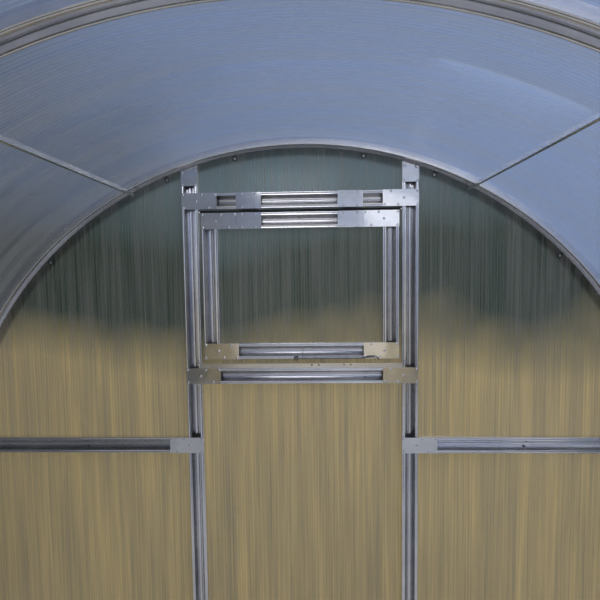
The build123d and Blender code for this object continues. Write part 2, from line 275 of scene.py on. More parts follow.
@dataclass(frozen=True)
class ZincSheetFinish:
    """Hot-dip galvanised steel sheet.

    The zinc freezes in crystals, so the grey is broken into spangles that turn the light a
    little differently, over slow clouds where the coat is thicker or has dulled.
    """

    name: str
    bright: str
    dull: str
    gloss: float
    matt: float
    contrast: float
    relief: float
    rolled: bool = False
    grain: Place = (30.0, 30.0, 420.0)
    spangle: float = 0.007
    cloud: float = 0.22
    cloud_range: Point = (0.36, 0.66)
    line_range: Point = (0.3, 0.7)
    line_shade: float = 0.9
    line_height: float = 0.0004
    wave: float = 0.08
    wave_height: float = 0.01

    def build(self) -> bpy.types.Material:
        """Build the material, over the strip's own map where it is rolled.

        Returns:
            The material.
        """
        material, add, place = begin_material(self.name, self.rolled)
        cells = add("TexVoronoi", {"Vector": place, "Scale": 1 / self.spangle})
        crystal = add("SeparateColor", [cells.outputs["Color"]])
        coat = {"Vector": place, "Scale": 1 / self.cloud, "Detail": 4.0, "Roughness": 0.55}
        clouds = add("TexNoise", coat)
        # Lines that the rolls left, drawn out along the coil
        stretch = add("Mapping", {"Vector": place, "Scale": self.grain})
        lines = add("TexNoise", {"Vector": stretch, "Scale": 1.0, "Detail": 2.0})
        share = add("MapRange", [clouds, *self.cloud_range])
        ground = add("MixRGB", [share, linear(self.bright), linear(self.dull)])
        shade = add("MapRange", [crystal.outputs["Red"], 0.0, 1.0, 1 - self.contrast])
        tinted = add("MixRGB", [1.0, ground, shade], blend_type="MULTIPLY")
        streaks = add("MapRange", [lines, *self.line_range, self.line_shade])
        colour = add("MixRGB", [1.0, tinted, streaks], blend_type="MULTIPLY")
        roughness = add("MapRange", [crystal.outputs["Green"], 0.0, 1.0, self.gloss, self.matt])
        # A rolled strip has its lines for relief, a flat plate only slow waves of its sheet
        relief, height = lines, self.line_height
        if not self.rolled:
            relief = add("TexNoise", {"Vector": place, "Scale": 1 / self.wave, "Detail": 1.0})
            height = self.wave_height
        bump = add("Bump", {"Height": relief, "Strength": self.relief, "Distance": height})
        looks = {"Base Color": colour, "Metallic": 1.0, "Roughness": roughness, "Normal": bump}
        add("OutputMaterial", [add("BsdfPrincipled", looks)])
        return material


@dataclass(frozen=True)
class Skin:
    """One skin of a twin wall sheet.

    It has a colour under the crown, one at head height, one low down and one on a web, a share
    that isn't clear, and a depth of its streaks. On an inner skin the colours by height are
    painted light and shade, the view through a clear sheet.
    """

    top: str
    high: str
    low: str
    web: str
    cover: float
    streaks: float


@dataclass(frozen=True)
class TwinWallFinish:
    """Clear twin wall polycarbonate, extruded.

    Two thin skins with upright webs between them: each web is a fine pale line, and what is
    behind is drawn out in soft streaks along the flutes, a painted view through the sheet. The
    inner skin is painted darker than the outer one, in painted light and shade: the view through
    a clear sheet, dark where shade falls, blue-grey towards the sky and, on the ends, khaki where
    lit ground shows low down. A skin is drawn as a half clear face, which glows with the light
    from its other side. The streaks are drawn at scales of (across the flutes, along them).
    """

    name: str
    inner: Skin
    outer: Skin
    flutes: Flutes
    lean: float = 0.0
    rim: float = 0.0
    pitch: float = 0.0116
    flute_height: float = 0.0006
    web_range: Point = (0.2, 1.0)
    gloss: float = 0.2
    matt: float = 0.4
    refraction: float = 1.585
    streak_scales: tuple[Point, ...] = ((120.0, 1.6), (16.0, 1.1))
    broad_share: float = 0.45
    streak_cover: float = 0.12
    streak_range: Point = (0.34, 0.66)
    web_cover: float = 0.05
    web_share: float = 0.35
    top_edge: float = 2.05
    low_edge: float = 1.57
    fade: float = 0.14
    raggedness: float = 0.5
    rim_width: float = 0.034
    glow: float = 0.45
    light: float = 0.62

    def build(self) -> bpy.types.Material:
        """Build the material; the real pitch of 5.8 mm is drawn twice as wide, so that it shows.

        Returns:
            The material.
        """
        material, add, place = begin_material(self.name)
        parts = add("SeparateXYZ", [place]).outputs
        turn = [parts[self.flutes.value], 2 * math.pi / self.pitch]
        wave = add("Math", [add("Math", turn, operation="MULTIPLY")], operation="SINE")
        web = add("MapRange", [wave, *self.web_range])
        clouds = add("TexNoise", {"Vector": place, "Scale": 1.6, "Detail": 3.0})
        streak = self.streaks(add, place)
        reach = self.reach(add, parts)
        outside = self.outside(add, parts, reach)
        # Painted shade: the left side is painted darker and greener, so the borders of the colours
        # lean over
        leaning = add("Math", [parts["X"], self.lean, parts["Z"]], operation="MULTIPLY_ADD")
        ragged = add("Math", [clouds, self.raggedness, leaning], operation="MULTIPLY_ADD")
        high = add("MapRange", [ragged, self.top_edge - self.fade, self.top_edge + self.fade])
        low = add("MapRange", [ragged, self.low_edge + self.fade, self.low_edge - self.fade])
        webbed = add("MapRange", [web, 0.0, 1.0, 0.0, self.web_share])
        skins = []
        for skin in (self.inner, self.outer):
            upper = add("MixRGB", [high, linear(skin.high), linear(skin.top)])
            body = add("MixRGB", [low, upper, linear(skin.low)])
            plain = add("MixRGB", [webbed, body, linear(skin.web)])
            depths = 1 - skin.streaks, 1 + skin.streaks
            depth = add("MapRange", [streak, *self.streak_range, *depths])
            skins.append(add("MixRGB", [1.0, plain, depth], blend_type="MULTIPLY"))
        # Painted shade: a darker band on the sheet just inside the arch
        edge = HOUSE.inner_radius - self.rim_width
        rim = add("MapRange", [reach, edge, edge + 0.4 * self.rim_width, 1.0, 1 - self.rim])
        both = add("MixRGB", [outside, *skins])
        colour = add("MixRGB", [1.0, both, rim], blend_type="MULTIPLY")
        cover = add("MapRange", [outside, 0.0, 1.0, self.inner.cover, self.outer.cover])
        # The painted streaks of the view through also vary the cover, on the outer skin a quarter
        # as much as on the inner one
        streaked = add("MapRange", [streak, *self.streak_range, -0.5, 0.5])
        uneven = add("MapRange", [outside, 0.0, 1.0, self.streak_cover, self.streak_cover / 4])
        covered = add("Math", [streaked, uneven, cover], operation="MULTIPLY_ADD")
        webs = [web, self.web_cover, covered]
        alpha = add("Math", webs, operation="MULTIPLY_ADD", use_clamp=True)
        bump = add("Bump", {"Height": wave, "Strength": 0.2, "Distance": self.flute_height})
        roughness = add("MapRange", [clouds, 0.0, 1.0, self.gloss, self.matt])
        looks = {"Base Color": colour, "Roughness": roughness, "Normal": bump}
        skin = add("BsdfPrincipled", {**looks, "IOR": self.refraction})
        glow = add("BsdfTranslucent", {"Color": colour})
        lit = add("MixShader", [self.glow, skin, glow])
        sheet = add("MixShader", [alpha, add("BsdfTransparent"), lit])
        # Lamps light the inside through the sheet, which takes a share of their light
        tint = add("BsdfTransparent", {"Color": (self.light,) * 3 + (1,)})
        shadow = add("LightPath").outputs["Is Shadow Ray"]
        add("OutputMaterial", [add("MixShader", [shadow, sheet, tint])])
        return material

    def reach(self, add: AddNode, parts: bpy.types.NodeOutputs) -> bpy.types.NodeSocket:
        """Distance from the arches' middle, or from the house's middle plane beside the legs.

        Args:
            add: Adds a node to the material.
            parts: The three object coordinates.

        Returns:
            The socket with the distance.
        """
        rise = add("Math", [parts["Z"], HOUSE.leg_height], operation="SUBTRACT")
        over = add("Math", [rise, 0.0], operation="MAXIMUM")
        flat = add("CombineXYZ", [parts["X"], over])
        return add("VectorMath", [flat], operation="LENGTH").outputs["Value"]

    def outside(
        self, add: AddNode, parts: bpy.types.NodeOutputs, reach: bpy.types.NodeSocket
    ) -> bpy.types.Node:
        """Share of the outer skin: 1 beyond the middle of the sheet's thickness, 0 inside it.

        Args:
            add: Adds a node to the material.
            parts: The three object coordinates.
            reach: Distance from the arches' middle.

        Returns:
            The node with the share.
        """
        if self.flutes is Flutes.UPRIGHT:
            reach = add("Math", [parts["Y"]], operation="ABSOLUTE")
            inner_face = HOUSE.face_y
        else:
            inner_face = HOUSE.arch_radius
        return add("Math", [reach, inner_face + HOUSE.sheet / 2], operation="GREATER_THAN")

    def streaks(self, add: AddNode, place: bpy.types.NodeSocket) -> bpy.types.Node:
        """Two noises drawn out along the flutes, fine and broad, mixed.

        Args:
            add: Adds a node to the material.
            place: Object coordinates.

        Returns:
            The node with the mixed noise.
        """
        noises = []
        for across, along in self.streak_scales:
            upright = self.flutes is Flutes.UPRIGHT
            scale = (across, along, along) if upright else (along, across, along)
            stretch = add("Mapping", {"Vector": place, "Scale": scale})
            noise = {"Vector": stretch, "Scale": 1.0, "Detail": 2.0, "Roughness": 0.6}
            noises.append(add("TexNoise", noise))
        return add("MixRGB", [self.broad_share, *noises])


@dataclass(frozen=True)
class PlatedFinish:
    """Zinc plated small steel part: brighter and smoother than the dipped sheet, a little dusty."""

    name: str
    bright: str
    dull: str
    roughness: float = 0.28

    def build(self) -> bpy.types.Material:
        """Build the material.

        Returns:
            The material.
        """
        material, add, place = begin_material(self.name)
        grain = add("TexNoise", {"Vector": place, "Scale": 260.0, "Detail": 3.0})
        colour = add("MixRGB", [grain, linear(self.bright), linear(self.dull)])
        limits = 0.7 * self.roughness, 1.5 * self.roughness
        roughness = add("MapRange", [grain, 0.0, 1.0, *limits])
        looks = {"Base Color": colour, "Metallic": 1.0, "Roughness": roughness}
        add("OutputMaterial", [add("BsdfPrincipled", looks)])
        return material


@dataclass(frozen=True)
class RubberFinish:
    """Moulded EPDM rubber: near black and matt, greyed where dust sits in its skin."""

    name: str
    colour: str
    dusty: str
    dust_range: Point = (0.45, 0.8)
    roughness: float = 0.7
    grain_height: float = 0.0003

    def build(self) -> bpy.types.Material:
        """Build the material.

        Returns:
            The material.
        """
        material, add, place = begin_material(self.name)
        dust = add("TexNoise", {"Vector": place, "Scale": 180.0, "Detail": 4.0})
        share = add("MapRange", [dust, *self.dust_range])
        colour = add("MixRGB", [share, linear(self.colour), linear(self.dusty)])
        bump = add("Bump", {"Height": dust, "Strength": 0.3, "Distance": self.grain_height})
        looks = {"Base Color": colour, "Roughness": self.roughness, "Normal": bump}
        add("OutputMaterial", [add("BsdfPrincipled", looks)])
        return material


ROLLED = ZincSheetFinish(
    "rolled_galvanised_steel", "F0F0F3", "DEDEE3", 0.22, 0.23, 0.03, 0.05, True, (330.0, 1.2, 40.0)
)
FLAT = ZincSheetFinish("flat_galvanised_steel", "F0F0F1", "DEDFE2", 0.14, 0.15, 0.02, 0.1)
ROOF = TwinWallFinish(
    "roof_twin_wall_polycarbonate",
    Skin("6C82AA", "566680", "2C3028", "9FB0CE", 0.86, 0.2),
    Skin("CBD2DC", "C9D0D9", "C5CACD", "E4E9EF", 0.76, 0.05),
    Flutes.ROUND_THE_ARCH,
    # The left side of the roof gets painted shade
    lean=0.45,
)
ENDS = TwinWallFinish(
    "end_twin_wall_polycarbonate",
    Skin("52646C", "242F28", "AA976D", "6C7970", 0.93, 0.36),
    Skin("C0C8C9", "BEC4C0", "C0BFB2", "D6DAD6", 0.74, 0.08),
    Flutes.UPRIGHT,
    # The end sheets get the painted shade band inside the arch
    rim=0.55,
)


@dataclass
class Finishes:
    """All the materials of the house, each built once."""

    rolled: bpy.types.Material = field(default_factory=ROLLED.build)
    plate: bpy.types.Material = field(default_factory=FLAT.build)
    fitting: bpy.types.Material = field(
        default_factory=PlatedFinish("zinc_plated_steel", "D6D7DC", "A5A6AC").build
    )
    rivet: bpy.types.Material = field(
        default_factory=PlatedFinish("rivet_steel", "F6F6F6", "DCDCE0", 0.2).build
    )
    # Painted shade: the stay and the screw tips are darker than the plated parts
    wire: bpy.types.Material = field(
        default_factory=PlatedFinish("drawn_steel_wire", "85868C", "55565C", 0.24).build
    )
    rubber: bpy.types.Material = field(
        default_factory=RubberFinish("moulded_epdm_rubber", "1B1B1D", "4A4A48").build
    )
    roof: bpy.types.Material = field(default_factory=ROOF.build)
    ends: bpy.types.Material = field(default_factory=ENDS.build)


# Modelling


def pick(*pieces: Piece) -> None:
    """Select these pieces alone, the first one active.

    Args:
        pieces: What is selected; with none, everything is deselected.
    """
    bpy.ops.object.select_all(action="DESELECT")
    for piece in pieces:
        piece.select_set(True)
        bpy.context.view_layer.objects.active = pieces[0]


@contextmanager
def editing(piece: Piece) -> Iterator[None]:
    """Work on one piece in edit mode, with all of it selected at first.

    Args:
        piece: Mesh object to edit.

    Yields:
        Nothing.
    """
    pick(piece)
    bpy.ops.object.mode_set(mode="EDIT")
    bpy.ops.mesh.select_mode(type="VERT")
    bpy.ops.mesh.select_all(action="SELECT")
    yield
    bpy.ops.object.mode_set(mode="OBJECT")


def select(piece: Piece, kind: Element, wanted: Callable[..., bool]) -> None:
    """Select the vertices, edges or faces that pass a test, and nothing else.

    Args:
        piece: Mesh object in edit mode.
        kind: What is tested.
        wanted: Test of a vertex's place, of the places of an edge's ends or of a face's normal.
    """
    bpy.ops.mesh.select_all(action="DESELECT")
    bpy.ops.mesh.select_mode(type=kind.name)
    mesh = bmesh.from_edit_mesh(piece.data)
    for element in getattr(mesh, kind.value):
        if kind is Element.FACE:
            element.select = wanted(element.normal)
        else:
            element.select = wanted(*[vert.co for vert in getattr(element, "verts", [element])])
    mesh.select_flush_mode()
    bmesh.update_edit_mesh(piece.data)


def extrude(move: Vector) -> None:
    """Extrude what is selected by a move."""
    bpy.ops.mesh.extrude_region_move(TRANSFORM_OT_translate={"value": tuple(move)})


def apply_modifier(piece: Piece, kind: str, **settings: object) -> None:
    """Add a modifier and apply it.

    Args:
        piece: Object that gets the modifier.
        kind: Blender's name of the modifier's type.
        settings: Attributes of the modifier.
    """
    pick(piece)
    modifier = piece.modifiers.new(kind.lower(), kind)
    for name, value in settings.items():
        setattr(modifier, name, value)
    bpy.ops.object.modifier_apply(modifier=modifier.name)


def recalculate(piece: Piece) -> None:
    """Merge doubles and turn every face outwards.

    Args:
        piece: Closed mesh object.
    """
    with editing(piece):
        bpy.ops.mesh.remove_doubles(threshold=1e-6)
        bpy.ops.mesh.normals_make_consistent(inside=False)


def smooth(piece: Piece, degrees: float = 50) -> None:
    """Shade a piece smooth, but sharp over the given angle."""
    pick(piece)
    bpy.ops.object.shade_smooth_by_angle(angle=math.radians(degrees))


def begin_chain(points: Sequence[Vector]) -> Piece:
    """Draw a chain of edges through points, by extruding one vertex.

    Args:
        points: Places of the chain's vertices.

    Returns:
        The new mesh object, in object mode.
    """
    pick()
    bpy.ops.mesh.primitive_plane_add(size=0.01, location=points[0])
    piece = bpy.context.object
    bpy.ops.object.transform_apply()
    with editing(piece):
        bpy.ops.mesh.merge(type="CENTER")
        for before, after in zip(points, points[1:]):
            extrude(after - before)
    return piece


def begin_cylinder(
    sides: int, radius: float, height: float, place: Place = (0, 0, 0), turn: Place = (0, 0, 0)
) -> Piece:
    """Set a cylinder, to be shaped further.

    Args:
        sides: Number of its sides.
        radius: Its radius.
        height: Its height.
        place: Its middle.
        turn: Its turn about the three axes, in radians.

    Returns:
        The new mesh object.
    """
    pick()
    bpy.ops.mesh.primitive_cylinder_add(
        vertices=sides, radius=radius, depth=height, location=place, rotation=turn
    )
    bpy.ops.object.transform_apply()
    return bpy.context.object


def begin_block(low: Sequence[float], high: Sequence[float]) -> Piece:
    """Set a block between two corners, to be shaped further.

    Args:
        low: Lowest corner.
        high: Highest corner.

    Returns:
        The new mesh object.
    """
    middle = [(one + other) / 2 for one, other in zip(low, high)]
    sides = [other - one for one, other in zip(low, high)]
    pick()
    bpy.ops.mesh.primitive_cube_add(size=1, location=middle, scale=sides)
    bpy.ops.object.transform_apply()
    return bpy.context.object


def thicken(piece: Piece, wall: float) -> None:
    """Give a bent strip its wall, half to each side, and turn its faces outwards."""
    apply_modifier(piece, "SOLIDIFY", thickness=wall, offset=0.0, use_even_offset=True)
    recalculate(piece)


def fold(
    section: Sequence[Vector],
    length: Vector,
    wall: float,
    bend: float,
    is_bend: Callable[[Vector, Vector], bool],
    segments: int = 3,
) -> Piece:
    """Fold a strip of sheet steel.

    Args:
        section: Middle line of the sheet across the strip.
        length: Direction and length of the strip.
        wall: Thickness of the sheet.
        bend: How far from a corner its rounding starts.
        is_bend: Test of the ends of an edge that is rounded.
        segments: Faces round a bend.

    Returns:
        The folded piece.
    """
    piece = begin_chain(section)
    with editing(piece):
        extrude(length)
        select(piece, Element.EDGE, is_bend)
        bpy.ops.mesh.bevel(offset=bend, segments=segments, affect="EDGES")
    thicken(piece, wall)
    return piece


def cut_off(piece: Piece, point: Sequence[float], normal: Sequence[float]) -> None:
    """Cut a piece along a plane, drop the side that the normal points to and close the cut."""
    with editing(piece):
        bpy.ops.mesh.bisect(plane_co=point, plane_no=normal, use_fill=True, clear_outer=True)


def bent_wire(points: Sequence[Vector], radius: float, bend: float) -> Piece:
    """Bend a round wire through points.

    Args:
        points: Its middle line.
        radius: Radius of the wire.
        bend: How far from each corner its bend starts.

    Returns:
        The wire as a mesh.
    """
    wire = begin_chain(points)
    inner = points[1:-1]
    if inner:
        with editing(wire):
            select(
                wire,
                Element.VERT,
                lambda place: any((place - point).length < TOUCH for point in inner),
            )
            bpy.ops.mesh.bevel(offset=bend, segments=4, affect="VERTICES")
    bpy.ops.object.convert(target="CURVE")
    wire.data.bevel_depth = radius
    wire.data.bevel_resolution = 2
    wire.data.use_fill_caps = True
    bpy.ops.object.convert(target="MESH")
    recalculate(wire)
    smooth(wire)
    return wire


def place_piece(piece: Piece, matrix: Matrix) -> None:
    """Move a piece by a matrix and apply it, so that its place is in its mesh.

    Args:
        piece: Object at the origin.
        matrix: Where it goes.
    """
    pick(piece)
    piece.matrix_world = matrix
    bpy.ops.object.transform_apply()


def axes_at(place: Sequence[float], y_axis: Vector, z_axis: Vector) -> Matrix:
    """Matrix that puts a master's y and z axes on two directions.

    Args:
        place: Where the master's origin goes.
        y_axis: Direction of its y axis.
        z_axis: Direction of its z axis.

    Returns:
        The matrix.
    """
    turn = Matrix((y_axis.cross(z_axis), y_axis, z_axis)).transposed().to_4x4()
    return Matrix.Translation(place) @ turn


def standing(place: Sequence[float], outwards: Vector, turn: float = 0.0) -> Matrix:
    """Matrix that stands a master's z axis on a direction.

    Args:
        place: Where the master's origin goes.
        outwards: Direction of its z axis.
        turn: Turn about that axis, in radians.

    Returns:
        The matrix.
    """
    aim = outwards.to_track_quat("Z", "Y").to_matrix().to_4x4()
    return Matrix.Translation(place) @ aim @ Matrix.Rotation(turn, 4, "Z")


def lay_strip(piece: Piece, place: Callable[[Vector], Point]) -> None:
    """Write a strip's across and along coordinates, in metres, as its UV map.

    Args:
        piece: Mesh object.
        place: Gives the two coordinates of a vertex.
    """
    mesh = piece.data
    for layer in list(mesh.uv_layers):
        mesh.uv_layers.remove(layer)
    layer = mesh.uv_layers.new(name="strip")
    for loop in mesh.loops:
        layer.data[loop.index].uv = place(mesh.vertices[loop.vertex_index].co)


def copy_piece(master: Piece) -> Piece:
    """Copy a piece with a mesh of its own.

    Args:
        master: Object that is copied.

    Returns:
        The copy.
    """
    piece = bpy.data.objects.new(master.name, master.data.copy())
    bpy.context.scene.collection.objects.link(piece)
    return piece


def join_pieces(pieces: Sequence[Piece]) -> Piece:
    """Join pieces into the first one.

    Args:
        pieces: Mesh objects, one or more.

    Returns:
        The first one, with all of them in it.
    """
    pick(*pieces)
    if len(pieces) > 1:
        bpy.ops.object.join()
    return pieces[0]


def scatter(master: Piece, places: Sequence[Matrix]) -> Piece:
    """Copy a master to many places and join the copies.

    Args:
        master: Object modelled round the origin, which stays as it is.
        places: Where the copies go.

    Returns:
        The joined piece.
    """
    copies = [copy_piece(master) for _ in places]
    for piece, place in zip(copies, places):
        piece.data.transform(place)
    return join_pieces(copies)


def remove(*masters: Piece) -> None:
    """Delete masters once their copies are made."""
    for master in masters:
        bpy.data.objects.remove(master)


def hand_in(
    piece: Piece,
    name: str,
    material: bpy.types.Material,
    *replaced: str,
    slot: str = FITTING_SLOT,
) -> None:
    """Name a finished piece, dress it and hang it on the frame.

    Args:
        piece: Finished mesh object.
        name: Name of the piece.
        material: Its material.
        replaced: Nodes that the piece stands for.
        slot: Not used.
    """
    piece.name = piece.data.name = name
    piece.data.materials.clear()
    piece.data.materials.append(material)
    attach(piece, BODY)
    if replaced:
        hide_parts(*replaced)
    LOG.info("%s: %d faces", name, len(piece.data.polygons))


def dress_node(node: str, material: bpy.types.Material) -> None:
    """Give a node of the frame a better material.

    Args:
        node: Name of the node.
        material: What it wears.
    """
    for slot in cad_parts[node].material_slots:
        slot.material = material
    LOG.info("%s: dressed", node)


@dataclass(frozen=True)
class Member:
    """A straight length of channel: start is the middle of its web's outer face."""

    start: Place
    along: Vector
    opening: Vector
    length: float
    cut_point: Place | None = None
    cut_normal: Vector | None = None


@dataclass
class RolledChannel:
    """The lipped channel of the whole frame, with its bends, two ribs and grooved lips."""

    material: bpy.types.Material
    width: float = HOUSE.channel_width
    hair: float = 0.0002
    depth: float = HOUSE.channel_depth - 2 * hair
    lip: float = 0.012
    wall: float = 0.001
    bend: float = 0.0018
    rib_places: tuple[float, ...] = (-0.006, 0.006)
    rib_foot: float = 0.003
    rib_crest: float = 0.0009
    rib_height: float = 0.002
    groove: float = 0.0012
    groove_shares: tuple[float, ...] = (0.3, 0.5, 0.7)
    arch_steps: int = 90
    letter_shift: float = 0.137
    member_shift: float = 0.71
    master: Piece = field(init=False)

    def __post_init__(self) -> None:
        """Roll a length of 1 m that every straight member is copied from."""
        section = [Vector((across, 0, out)) for across, out in self.profile()]
        self.master = fold(
            section,
            ALONG_Y,
            self.wall,
            self.bend,
            lambda *ends: all(self.is_bend(end.x, end.z) for end in ends),
        )
        smooth(self.master)

    def profile(self) -> list[Point]:
        """Middle line of the sheet as (across, out) points, from the left lip to the right one.

        Returns:
            The points of the section.
        """
        skin = self.wall / 2
        side, top = self.width / 2 - skin, self.depth - skin
        start, bottom, stop = [side - share * self.lip for share in self.groove_shares]
        right_lip = [
            (side, top),
            (start, top),
            (bottom, top - self.groove),
            (stop, top),
            (side + skin - self.lip, top),
        ]
        crest, rib_top = self.rib_crest, skin + self.rib_height
        web = [(-side, skin)]
        for rib in self.rib_places:
            web += [(rib - self.rib_foot, skin), (rib - crest, rib_top)]
            web += [(rib + crest, rib_top), (rib + self.rib_foot, skin)]
        web.append((side, skin))
        left_lip = [(-across, out) for across, out in reversed(right_lip)]
        return left_lip + web + right_lip

    def is_bend(self, across: float, out: float) -> bool:
        """Whether a point of the profile is one of its four bends.

        Args:
            across: Its place across the strip.
            out: Its height over the web's outer face.

        Returns:
            True for a bend.
        """
        skin = self.wall / 2
        side = self.width / 2 - skin
        return any(
            math.hypot(abs(across) - side, out - level) < TOUCH
            for level in (skin, self.depth - skin)
        )

    def straight(self, member: Member, seed: float) -> Piece:
        """Cut a straight member.

        Args:
            member: Where it goes.
            seed: Shift of its pattern along the strip.

        Returns:
            The piece.
        """
        piece = copy_piece(self.master)
        length = member.length
        lay_strip(piece, lambda co: (co.x + co.z + seed, co.y * length + seed))
        start = Vector(member.start) + self.hair * member.opening
        stretch = Matrix.Diagonal((1, length, 1, 1))
        place_piece(piece, axes_at(start, member.along, member.opening) @ stretch)
        if member.cut_normal is not None:
            cut_off(piece, member.cut_point, member.cut_normal)
        return piece

    def members(self, node: str, members: Sequence[Member]) -> None:
        """Cut the members of one node, join them into its piece, dress it and hang it on the frame.

        Args:
            node: Node that they stand for.
            members: The straight members.
        """
        # Each member takes its pattern from another stretch of the coil
        seed = sum(ord(letter) for letter in node) * self.letter_shift
        pieces = [
            self.straight(member, seed + self.member_shift * number)
            for number, member in enumerate(members)
        ]
        piece = join_pieces(pieces)
        smooth(piece)
        hand_in(piece, node + "_rolled", self.material, node, slot=CHANNEL_SLOT)

    def arch(self, node: str, arch_y: float) -> None:
        """Bend an arch: up one leg, over the half circle and down the other leg.

        Args:
            node: Node that it stands for.
            arch_y: Its place on Y.
        """
        # The roof sheet's flat facets dip inside its true circle, so the web stays under them
        radius, leg = HOUSE.arch_radius - 2 * self.hair, HOUSE.leg_height

        def unbend(co: Vector) -> Point:
            """Out and along coordinates of a vertex of the arch.

            Args:
                co: Place of the vertex.

            Returns:
                Its depth inside the arch's outer face, and its way round the arch.
            """
            if co.z > leg:
                along = leg + math.atan2(co.z - leg, co.x) * radius
                return radius - math.hypot(co.x, co.z - leg), along
            along = co.z if co.x > 0 else 2 * leg + math.pi * radius - co.z
            return radius - abs(co.x), along

        foot = [Vector((radius - out, arch_y + across, 0)) for across, out in self.profile()]
        piece = begin_chain(foot)
        with editing(piece):
            extrude(UP * leg)
            bpy.ops.mesh.spin(
                steps=self.arch_steps, angle=math.pi, center=(0, 0, leg), axis=(0, 1, 0)
            )
            extrude(UP * -leg)
            select(
                piece,
                Element.EDGE,
                lambda *ends: all(self.is_bend(end.y - arch_y, unbend(end)[0]) for end in ends),
            )
            bpy.ops.mesh.bevel(offset=self.bend, segments=3, affect="EDGES")
        thicken(piece, self.wall)
        smooth(piece)
        lay_strip(piece, lambda co: (co.y + unbend(co)[0], unbend(co)[1] + arch_y))
        hand_in(piece, node + "_rolled", self.material, node, slot=CHANNEL_SLOT)


@dataclass
class FrameWork:
    """Everything that is cut from the channel: arches, posts, rails, stiles and base rails."""

    finishes: Finishes
    clearance: float = 0.0003
    channel: RolledChannel = field(init=False)

    def build(self) -> None:
        """Build the arches, the end frames, the two leaves and the base rails."""
        self.channel = RolledChannel(self.finishes.rolled)
        for number, arch_y in enumerate(HOUSE.arch_places()):
            self.channel.arch(f"arch_{number + 1}", arch_y)
        for end in End:
            self.end_frame(end)
        self.rails("back_sill_rail", End.BACK, HOUSE.post_inner, [top_of("back_sill_rail")])
        self.leaf("vent", End.BACK)
        self.leaf("door", End.FRONT)
        self.side_base_rails()
        remove(self.channel.master)

    def upright(self, x: float, bottom: float, top: float, end: End) -> Member:
        """An upright of an end frame or leaf."""
        return Member((x, end.value * HOUSE.face_y, bottom), UP, end.inwards, top - bottom)

    def rail(self, low_x: float, high_x: float, top: float, end: End) -> Member:
        """A rail of an end frame or leaf."""
        start = (low_x, end.value * HOUSE.face_y, top - HOUSE.half_width)
        return Member(start, ALONG_X, end.inwards, high_x - low_x)

    def rails(self, node: str, end: End, reach: float, tops: Sequence[float]) -> None:
        """Build rails that reach as far to the left as to the right."""
        self.channel.members(node, [self.rail(-reach, reach, top, end) for top in tops])

    def cut(self, member: Member, one: Point, other: Point) -> Member:
        """Cut a member off inside the arch.

        Args:
            member: The member.
            one: Place of the cut's one end on X and Z.
            other: Place of its other end.

        Returns:
            The same member with its cut.
        """
        chord = Vector((other[0] - one[0], 0, other[1] - one[1]))
        outwards = Vector((chord.z, 0, -chord.x)).normalized()
        if outwards.dot(Vector((one[0], 0, one[1] - HOUSE.leg_height))) < 0:
            outwards = -outwards
        return replace(member, cut_point=(one[0], member.start[1], one[1]), cut_normal=outwards)

    def end_frame(self, end: End) -> None:
        """Build the posts, the rails and the base rails of one end.

        Args:
            end: Which end.
        """
        reach = HOUSE.inner_radius - self.clearance
        leg, inner, outer = HOUSE.leg_height, HOUSE.post_inner, HOUSE.post_outer
        name, width = end.label, HOUSE.channel_width
        posts, side_rails = [], []
        side_top = top_of(f"{name}_side_rails")
        for side in (-1, 1):
            post = self.upright(side * HOUSE.post_x, 0, leg + HOUSE.arch_radius, end)
            ends = [(side * x, leg + math.sqrt(reach**2 - x**2)) for x in (inner, outer)]
            posts.append(self.cut(post, *ends))
            rail = self.rail(*sorted((side * outer, side * HOUSE.arch_radius)), side_top, end)
            levels = side_top - width, side_top
            ends = [(side * math.sqrt(reach**2 - (z - leg) ** 2), z) for z in levels]
            side_rails.append(self.cut(rail, *ends))
        self.channel.members(f"{name}_posts", posts)
        self.channel.members(f"{name}_side_rails", side_rails)
        self.rails(f"{name}_top_rail", end, inner, [top_of(f"{name}_top_rail")])
        reach = HOUSE.inner_radius
        spans = ((-reach, -outer), (-inner, inner), (outer, reach))
        base_rails = [self.rail(*span, width, end) for span in spans]
        self.channel.members(f"base_rails_{name}", base_rails)

    def leaf(self, name: str, end: End) -> None:
        """Build the stiles and rails of the vent or the door.

        Args:
            name: vent or door.
            end: The end that it closes.
        """
        bottom, top = bottom_of(f"{name}_stiles"), top_of(f"{name}_stiles")
        x = HOUSE.leaf_side - HOUSE.half_width
        stiles = [self.upright(side * x, bottom, top, end) for side in (-1, 1)]
        self.channel.members(f"{name}_stiles", stiles)
        tops = [bottom + HOUSE.channel_width, top]
        if end is End.FRONT:
            tops.append(top_of("front_side_rails"))
        self.rails(f"{name}_rails", end, HOUSE.leaf_side - HOUSE.channel_width, tops)

    def side_base_rails(self) -> None:
        """Build the base rails along both sides."""
        length = HOUSE.bay_length - HOUSE.channel_width
        for name, side in (("left", -1), ("right", 1)):
            rails = []
            for arch_y in HOUSE.arch_places()[:-1]:
                start = (side * HOUSE.arch_radius, arch_y + HOUSE.half_width, HOUSE.half_width)
                rails.append(Member(start, ALONG_Y, Vector((-side, 0, 0)), length))
            self.channel.members(f"base_rails_{name}", rails)


@dataclass(frozen=True)
class Fastener:
    """A turned or pressed fastener head, drawn as rings of one cylinder.

    Each ring is (inset, rise): the top face is inset and lifted by that much in turn.
    """

    radius: float
    height: float
    rings: tuple[Point, ...]
    sides: int = 12

    def build(self) -> Piece:
        """Model the head with its base on z = 0.

        Returns:
            The head.
        """
        piece = begin_cylinder(self.sides, self.radius, self.height, (0, 0, self.height / 2))
        with editing(piece):
            select(piece, Element.FACE, lambda normal: normal.z > 0.9)
            for inset, rise in self.rings:
                bpy.ops.mesh.inset(thickness=inset, depth=rise)
        smooth(piece, 40)
        return piece

    def set_at(self, places: Sequence[Matrix]) -> Piece:
        """Model the head once and set a copy at each place.

        Args:
            places: Where the heads go.

        Returns:
            The heads as one piece.
        """
        head = self.build()
        piece = scatter(head, places)
        remove(head)
        return piece


